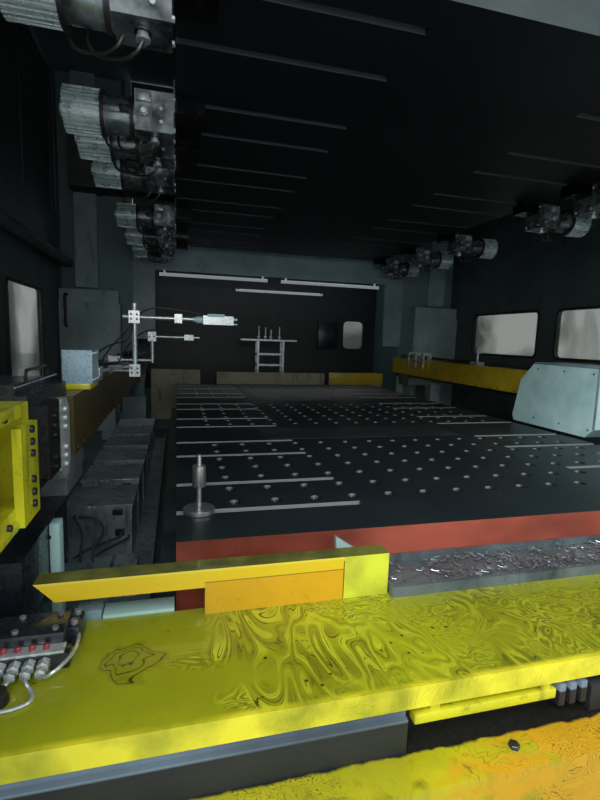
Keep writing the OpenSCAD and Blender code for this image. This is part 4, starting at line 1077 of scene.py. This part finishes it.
@dataclass
class ClampDress:
    """Bolts, sensors and cables on the travelling die clamps of one side."""

    side: Side

    def build(self) -> None:
        """Builds the fittings of one side."""
        tag, place, way = self.side.tag, self.side.at, self.side.inward
        body = f"{tag}_clamps"
        bright = Piece(f"{tag}_clamp_fittings", Look.SILVER, "tool_silver", body, place)
        black = Piece(f"{tag}_clamp_sensors", Look.CABLE, "black_paint", body, place)
        plug = ((12, 0), (12, 38), (8, 38), (8, 46))
        neck = ((24, 0), (24, 10), (17, 10), (17, 22), (21, 22), (21, 30))
        stub = ((16, 0), (16, 12), (11, 12), (11, 26))
        for y in CLAMP_ROWS:
            for z in (1468, 1520):
                for out in (-1, 1):
                    bright.turned((-60, y + 36 * out, z), Y * out, plug, 10)
            bright.turned((-90, y, 1438), -Z, neck, 12)
            bright.turned((-130, y - 70, 1500), -Y, stub, 12)
            bright.block((-160, y - 86, 1540), (-100, y - 74, 1578))
            bright.bolts([(-10, y + dy, z) for dy in (-58, 58) for z in (1446, 1570)], way, 9, 8)
            for dx, dz in ((0, 0), (-52, 6)):
                black.tube([
                    (-90 + dx, y, 1408 + dz), (-110 + dx, y + 10, 1380 + dz),
                    (-170 + dx, y + 50, 1372 + dz), (-240 + dx, y + 70, 1400 + dz),
                    (-230 + dx, y + 76, 1480), (-150, y + 74, 1530),
                ], 6)
            black.block((-225, y - 95, 1486), (-190, y - 74, 1512))
            black.turned((-297, y, 1498), way, ((92, -6), (92, 8), (76, 8)), 24)
            black.turned((-182, y, 1498), way, ((82, -6), (82, 10), (76, 10)), 24)
        bright.done()
        black.done()


@dataclass
class BarDress:
    """Bolts, boxes, cables and edges on one feed bar."""

    side: Side

    @property
    def body(self) -> str:
        """The body that carries the bar."""
        return f"{self.side.tag}_feed_bar"

    def build(self) -> None:
        """Builds what both bars carry, then what only one of them does."""
        tag, place = self.side.tag, self.side.at
        piece = Piece(f"{tag}_bar_bolts", Look.BLACK, "black_paint", self.body, place)
        row = [(-320, y, 196) for y in range(150, 4280, 110)]
        piece.bolts(row, self.side.inward, 6, 4, True)
        piece.done()
        piece = Piece(f"{tag}_bar_conduit", Look.CABLE, "black_paint", self.body, place)
        for z in (392, 410):
            sag = [(-430, y, z + 5 * math.sin(y / 180)) for y in range(500, 4290, 210)]
            piece.tube(sag, 9)
        for y in range(600, 4200, 600):
            piece.block((-446, y, BAR_TOP), (-414, y + 30, 424), 4)
        piece.done()
        if self.side is Side.LEFT:
            self.bar_end()
            self.valve_box()
            self.tooling()
        else:
            self.hood()

    def bar_end(self) -> None:
        """Bolts, trim with a painted highlight strip, and rod at the black bar end, and the lip of
        its casting.
        """
        piece = Piece("left_flange_bolts", Look.BLACK, "black_paint", self.body)
        piece.bolts([(-320, -362, z) for z in (183, 211, 241, 302, 329, 358)], X, 9, 7, True)
        piece.bolts([(-338, y, z) for y in (-620, -480) for z in (170, 400)], X, 8, 8, True)
        piece.done()
        piece = Piece("left_end_trim_and_highlight", Look.SILVER, "tool_silver", self.body)
        # Thin silver strip along the top edge of the black bar end: a painted highlight.
        piece.block((-372, -309, 444), (-364, 98, 447), 1)
        piece.block((-341, -205, 190), (-338.5, -200, 392), 0.5)
        piece.done()
        piece = Piece("left_end_rod", Look.CABLE, "black_paint", self.body)
        piece.tube([
            (-400, -95, 446), (-400, -95, 462), (-400, -88, 468), (-398, 0, 470), (-396, 90, 472),
            (-395, 100, 466), (-394, 104, 446),
        ], 5, 10)
        piece.done()
        piece = Piece("left_casting_lip", Look.YELLOW, "yellow_paint", self.body)
        piece.block((-354, -640, 396), (-330, -430, 418), 5)
        piece.block((-354, -640, 146), (-330, -430, 166), 5)
        drop = [(-342, -640, 156), (-342, -690, 140), (-342, -720, 100), (-342, -732, 64)]
        piece.tube(drop, 16, 12)
        piece.done()

    def valve_box(self) -> None:
        """Rivets, connectors and cables of the valve box."""
        piece = Piece("valve_box_rivets", Look.SILVER, "tool_silver", self.body)
        edges = [(-293, y, z) for y in (312, 340, 370, 400, 428) for z in (408, 504)]
        piece.bolts(edges, X, 4, 3, True)
        piece.bolts([(x, 300, z) for x in (-382, -304) for z in (408, 504)], -Y, 4, 3, True)
        piece.done()
        piece = Piece("valve_box_base", Look.YELLOW, "yellow_paint", self.body)
        piece.block((-404, 289, 375.2), (-304, 291.9, 396), 1)
        piece.block((-307.8, 290, 375.2), (-299, 470, 396), 1)
        piece.done()
        piece = Piece("valve_box_connectors", Look.CABLE, "black_paint", self.body)
        for z in (424, 452, 480):
            piece.turned((-320, 462, z), Y, ((9, 0), (9, 12), (6, 12), (6, 26)), 12)
        piece.tube([
            (-320, 486, 480), (-319, 520, 484), (-310, 600, 502), (-290, 700, 522),
            (-262, 790, 536), (-228, 866, 548), (-208, 884, 580), (-205, 885, 690),
        ], 4)
        piece.done()
        piece = Piece("valve_rods", Look.BLACK, "black_paint", self.body)
        piece.rod((-330, 488, 452), (-225, 884, 440), 9)
        piece.done()
        piece = Piece("valve_link", Look.SILVER, "tool_silver", self.body)
        piece.rod((-318, 488, 424), (-215, 884, 424), 7)
        piece.block((-330, 520, 402), (-300, 560, 440), 3)
        piece.done()

    def tooling(self) -> None:
        """Clamp screws, gripper jaws and air lines on the left tooling."""
        piece = Piece("gripper_jaws", Look.CYAN, "cyan_paint", self.body)
        for dz, tilt in ((6, 10), (-16, -6)):
            piece.block((240, 882, 655 + dz), (300, 918, 663 + dz + tilt * 0.2), 2)
        piece.turned((128, 900, 659), -X, ((17, 0), (17, 30), (12, 30), (12, 44)), 16)
        piece.block((150, 874, 676), (235, 926, 690), 3)
        piece.done()
        piece = Piece("tooling_screws", Look.BLACK, "black_paint", self.body)
        tall = (392, 414, 650, 672)
        piece.bolts([(x, 875, z) for x in (-208, -182) for z in tall], -Y, 5, 6, True)
        piece.bolts([(x, 1675, 565) for x in (-166, -138)], -Y, 5, 6, True)
        piece.done()
        piece = Piece("tooling_air_lines", Look.CABLE, "black_paint", self.body)
        piece.tube([
            (-360, 860, 392), (-330, 870, 470), (-225, 880, 600), (-150, 886, 690),
            (20, 884, 700), (120, 890, 684),
        ], 4)
        piece.tube([
            (-360, 1660, 392), (-300, 1668, 500), (-180, 1672, 600), (0, 1680, 592),
            (60, 1690, 580),
        ], 4)
        piece.done()

    def hood(self) -> None:
        """Rim and screws of the right hood."""
        piece = Piece("hood_rim", Look.VALVE, "cyan_paint", self.body)
        piece.block((2556, 834, 455), (2822, 1398, 470), 4)
        piece.block((2556, 834, 70), (2566, 846, 470), 3)
        piece.done()
        piece = Piece("hood_screws", Look.GREY, "grey_steel", self.body)
        piece.bolts([(2560, y, z) for y in (880, 1120, 1360) for z in (60, 420)], -X, 7, 4, True)
        piece.done()


@dataclass
class LiftDress:
    """Cover caps, bolts and strips of the lift units, and the left one's handle."""

    def build(self) -> None:
        """Builds both sides."""
        for side in Side:
            tag, place = side.tag, side.at
            piece = Piece(f"{tag}_cover_bolts", Look.BLACK, "black_paint", place=place)
            rows = (-500, -100, 300, 700, 870)
            piece.bolts([(x, 4350, z) for x in (-1240, -955, -670) for z in rows], -Y, 8, 5)
            rows = (-360, -160, 0)
            flange = [(-350, y, z) for y in (-320, -120, 60) for z in rows]
            piece.bolts(flange, side.inward, 10, 7)
            piece.done()
            piece = Piece(f"{tag}_cover_cap", Look.COVER, "cover_paint", place=place)
            piece.block((-1284, 4344, 905), (-626, 4548, 916))
            piece.block((-1086, 4340, 100), (-650, 4351, 890), 6)
            piece.done()
            piece = Piece(f"{tag}_near_strip", Look.CYAN, "cover_paint", place=place)
            piece.block((-349, -128, -300), (-322, -76, 38), 4)
            piece.done()
        piece = Piece("left_cover_handle", Look.CABLE, "black_paint")
        piece.tube([
            (-1200, 4352, 640), (-1200, 4312, 644), (-1200, 4296, 670), (-1200, 4296, 820),
            (-1200, 4296, 960), (-1200, 4312, 988), (-1200, 4378, 992),
        ], 16, 12)
        piece.done()


@dataclass
class TrayDress:
    """Painted highlight strips on the lid edges, connectors and louvres in the cable tray."""

    first_y: float = 900.0
    pitch: float = 440.0
    boxes: int = 6

    def build(self) -> None:
        """Builds the painted highlight strips and connectors of the boxes, and the trim of the two
        blocks before them.
        """
        bright = Piece("tray_box_highlights_and_fittings", Look.SILVER, "tool_silver")
        dark = Piece("tray_box_sockets", Look.CABLE, "black_paint")
        for i in range(self.boxes):
            y = self.first_y + self.pitch * i
            # Thin silver strips along each box's top and right front edges: painted highlights.
            bright.block((-538, y - 10, -277), (-212, y - 8, -274), 0.6)
            bright.block((-226, y - 3, -372), (-219.8, y + 2, -288), 1)
            for x in (-420, -392):
                bright.turned((x, y - 8, -281), -Y, ((7, 0), (7, 14), (5, 14), (5, 22)), 12)
            dark.block((-300, y - 3, -440), (-256, y + 1, -404), 2)
            dark.block((-312, y - 4, -330), (-262, y + 1, -300), 2)
        for x in (-460, -405, -330, -296):
            bright.block((x, 486, -500), (x + 12, 490.5, -432), 1)
        bright.block((-440, 484, -470), (-418, 490.5, -440), 2)
        bright.block((-300, 484, -520), (-286, 490.5, -480), 2)
        for z in range(-545, -436, 14):
            dark.block((-258, 506, z), (-178, 510.5, z + 5), 1)
        bright.block((-262, 504, -556), (-172, 510, -552), 1)
        bright.done()
        dark.done()


@dataclass
class OutfeedDress:
    """Bolts, dust sheet and trim at the outfeed end."""

    def build(self) -> None:
        """Builds the bolts, the sheet over the window, the stand's fittings and the trim."""
        piece = Piece("drive_box_bolts", Look.GREY, "grey_steel")
        piece.bolts([(x, 4351, z) for x in (-255, -30) for z in range(-380, 110, 120)], -Y, 11, 8)
        piece.done()
        piece = Piece("tie_beam_bolts", Look.STEEL, "rod_steel")
        ends = (-440, -330, 2830, 2940)
        piece.bolts([(x, 4500, z) for x in ends for z in (1450, 1600, 1700)], -Y, 14, 12)
        piece.bolts([(x, 4500, 1560) for x in range(-200, 2750, 300)], -Y, 8, 6)
        piece.done()
        piece = Piece("upper_dust_sheet", Look.DOOR, "door_paint")
        reach = WINDOW_GAP - 8
        piece.block((-reach, 4514, 1752), (BOLSTER_W + reach, 4518, SHEET_Z), 1)
        for x in range(-600, 3300, 620):
            piece.block((x, 4504, 1760), (x + 40, 4515, SHEET_Z - 8), 2)
        piece.done()
        piece = Piece("stand_fittings", Look.SILVER, "tool_silver")
        for x in (1060, 1150, 1225, 1340):
            piece.block((x - 20, 4715, 580), (x + 20, 4752, 600))
        piece.done()
        piece = Piece("outfeed_trim", Look.OCHRE, "bar_paint")
        piece.block((1950, 4374, 0), (2715, 4380, 150), 2)
        piece.done()


@dataclass
class DoorDress:
    """Window seals, a handle and ribs of the side doors."""

    mullion: float = 260.0

    def build(self) -> None:
        """Builds the seals of both side doors, the left handle and the ribs."""
        self.seals(Side.LEFT, 1010, 880, 105, -100)
        self.seals(Side.RIGHT, 1155, 500, 465, -47)
        piece = Piece("left_door_handle", Look.CABLE, "black_paint", "left_door")
        x = -1282
        piece.tube([
            (x, 2060, 560), (x + 44, 2064, 570), (x + 48, 2070, 700), (x + 44, 2064, 830),
            (x, 2060, 840),
        ], 13, 12)
        piece.done()
        piece = Piece("door_ribs", Look.DOOR, "door_paint")
        for side in Side:
            near, far = side.x(-1342), side.x(-1335)
            for y in (-380, 620, 1560, 2490, 3430, 4430):
                piece.block((near, y, 1760), (far, y + 60, 3380), 3)
        piece.done()

    def seals(self, side: Side, long: float, tall: float, sill: float, shift: float) -> None:
        """Builds the rubber seals round one door's windows, on both faces."""
        door = f"{side.tag}_door"
        piece = Piece(f"{door}_seals", Look.SEAL, "belt_rubber", door, side.at)
        for i in (-1, 0, 1):
            y = i * (long + self.mullion) + shift + BOLSTER_MID_Y
            for x in (-1287, -1320):
                piece.ring((x, y, sill + tall / 2), long, tall)
        piece.done()


@dataclass
class DriveDress:
    """Bearing caps and motor fittings on the crown's deck."""

    def build(self) -> None:
        """Builds the bearing caps, their bolts and the motor's cowl."""
        caps = Piece("bearing_caps", Look.COLUMN, "frame_paint", place=press)
        bolts = Piece("bearing_bolts", Look.STEEL, "rod_steel", place=press)
        cap = ((150, -2), (150, 26), (110, 34), (60, 40))
        x, y, z = FLYWHEEL
        turns = [(math.cos(a), math.sin(a)) for a in map(math.radians, range(0, 360, 60))]
        for out in (-1, 1):
            caps.turned((x + 370 * out, y, z), X * out, cap, 32)
            ring = [(x + 396 * out, y + 128 * across, z + 128 * up) for across, up in turns]
            bolts.bolts(ring, X * out, 12, 10)
        caps.done()
        bolts.done()
        piece = Piece("motor_fan_cowl", Look.VALVE, "frame_paint", place=press)
        cowl = ((300, -30), (318, -20), (318, 90), (280, 120), (120, 126))
        piece.turned(MOTOR_END, X, cowl, 40)
        piece.done()


@dataclass
class FrameDress:
    """Cover plates with bolts on the outer faces of the columns."""

    def build(self) -> None:
        """Builds two covers on each outer face of each column."""
        plates = Piece("column_covers", Look.COVER, "cover_paint", place=press)
        bolts = Piece("column_cover_bolts", Look.STEEL, "rod_steel", place=press)
        for side_x, side_y, z in product((-1, 1), (-1, 1), (1500, 2900)):
            for x, y, along, out in (
                (2595, 2975, Y, X * side_x),
                (2195, 3380, X, Y * side_y),
            ):
                foot = Vector((x * side_x, y * side_y, z))
                edge = along * 210
                plates.block(foot - edge - out * 2, foot + edge + out * 22 + Z * 620, 6)
                spots = product((-180, 180), (40, 310, 580))
                bolts.bolts([foot + along * a + out * 22 + Z * up for a, up in spots], out, 13, 11)
        plates.done()
        bolts.done()


@dataclass
class LampDress:
    """Third lamp, on the inner face of the exit guard."""

    def build(self) -> None:
        """Builds the tube and its two holders."""
        piece = Piece("exit_lamp", Look.LAMP, "lamp_glow", "exit_guard")
        piece.rod((815, 5316, 1240), (2100, 5316, 1240), 19)
        piece.done()
        piece = Piece("exit_lamp_holders", Look.BLACK, "black_paint", "exit_guard")
        for x in (830, 2060):
            piece.block((x, 5300, 1225), (x + 30, 5380, 1262))
        piece.block((2060, 5310, 440), (2370, 5379, 850), 12)
        piece.done()


# ---- Stage


@dataclass(frozen=True)
class Stage:
    """Floor, world, lamps and camera."""

    eye: Point = (-1.2479, -3.5610, 1.4813)
    yaw: float = 0.258
    pitch: float = 0.129
    roll: float = -0.033
    focal_px: float = 471.238
    frame_h: int = 800
    sensor: float = 36.0
    sky: Tone = (0.82, 0.95, 1.0)
    sky_power: float = 0.6
    backdrop: Tone = (0.90, 0.93, 0.93)
    backdrop_power: float = 0.95

    def build(self) -> None:
        """Builds the whole stage."""
        self.floor()
        self.world()
        self.lamps()
        self.camera()

    def floor(self) -> None:
        """Plain pale floor."""
        bpy.ops.mesh.primitive_plane_add(size=60, location=(0, 0, 0))
        floor = bpy.context.object
        floor.name = "floor"
        shader = Shader("pale_floor")
        pale = shader.noise(0.6, 3).blend((0.72, 0.73, 0.73), (0.76, 0.77, 0.77))
        shader.set(Base_Color=pale, Roughness=0.6)
        floor.data.materials.append(shader.material)

    def world(self) -> None:
        """Even light all round, and a white backdrop to camera, glossy and transmission rays."""
        world = bpy.data.worlds.new("studio")
        world.use_nodes = True
        bpy.context.scene.world = world
        tree = world.node_tree
        sky, backdrop = tree.nodes["Background"], tree.nodes.new("ShaderNodeBackground")
        for node, tone, power in (
            (sky, self.sky, self.sky_power), (backdrop, self.backdrop, self.backdrop_power),
        ):
            node.inputs["Color"].default_value = (*tone, 1)
            node.inputs["Strength"].default_value = power
        path = tree.nodes.new("ShaderNodeLightPath")
        links = tree.links
        mix = tree.nodes.new("ShaderNodeMixShader")
        share = path.outputs["Is Camera Ray"]
        for ray in ("Is Glossy Ray", "Is Transmission Ray"):
            either = tree.nodes.new("ShaderNodeMath")
            either.operation = "MAXIMUM"
            links.new(share, either.inputs[0])
            links.new(path.outputs[ray], either.inputs[1])
            share = either.outputs["Value"]
        links.new(share, mix.inputs[0])
        links.new(sky.outputs[0], mix.inputs[1])
        links.new(backdrop.outputs[0], mix.inputs[2])
        links.new(mix.outputs[0], tree.nodes["World Output"].inputs["Surface"])

    @staticmethod
    def lamp(
        name: str, place: Point, aim: Point, size: float, power: float, tone: Tone = (1, 1, 1)
    ) -> None:
        """Adds one square soft lamp.

        Args:
            name: Its name.
            place: Where it hangs, in metres.
            aim: What it points at, in metres.
            size: Its edge, in metres.
            power: Its power, in watts.
            tone: Its colour.
        """
        bpy.ops.object.light_add(type="AREA", location=place)
        lamp = bpy.context.object
        lamp.name = name
        lamp.data.size = size
        lamp.data.energy = power
        lamp.data.color = tone
        way = Vector(aim) - Vector(place)
        lamp.rotation_euler = way.to_track_quat("-Z", "Y").to_euler()

    def lamps(self) -> None:
        """Soft lamps round the press and a small one at its infeed end."""
        self.lamp("key", (-7, -9, 9), (0, 0, 3), 6, 1500)
        self.lamp("fill", (9, -5, 6), (0, 0, 3), 6, 700)
        self.lamp("rim", (4, 10, 9), (0, 0, 4), 6, 900)
        self.lamp("infeed", (-1.3, -4.6, 2.3), (-0.6, -2.4, 0.8), 0.9, 22, (1.0, 0.98, 0.93))

    def camera(self) -> None:
        """Camera at the photograph's viewing angle."""
        flat = Vector((math.cos(self.yaw), -math.sin(self.yaw), 0))
        level = math.cos(self.pitch)
        ahead = Vector(
            (math.sin(self.yaw) * level, math.cos(self.yaw) * level, -math.sin(self.pitch))
        )
        down = ahead.cross(flat)
        right = flat * math.cos(self.roll) + down * math.sin(self.roll)
        low = down * math.cos(self.roll) - flat * math.sin(self.roll)
        bpy.ops.object.camera_add()
        camera = bpy.context.object
        camera.name = "camera"
        turn = Matrix((right, -low, -ahead)).transposed().to_4x4()
        camera.matrix_world = Matrix.Translation(self.eye) @ turn
        camera.data.sensor_width = self.sensor
        camera.data.sensor_fit = "AUTO"
        camera.data.lens = self.sensor * self.focal_px / self.frame_h
        camera.data.clip_start = 0.01
        camera.data.clip_end = 200
        bpy.context.scene.camera = camera


def main() -> None:
    """Builds the press's dress, piece by piece, and then the stage."""
    logging.basicConfig(level=logging.INFO, format="%(name)s: %(message)s")
    bpy.context.scene.view_settings.view_transform = "Standard"
    finish_cad_nodes()
    InfeedDress().build()
    for side in Side:
        ClampDress(side).build()
        BarDress(side).build()
    LiftDress().build()
    TrayDress().build()
    OutfeedDress().build()
    DoorDress().build()
    DriveDress().build()
    FrameDress().build()
    LampDress().build()
    Stage().build()


if __name__ == "__main__":
    main()
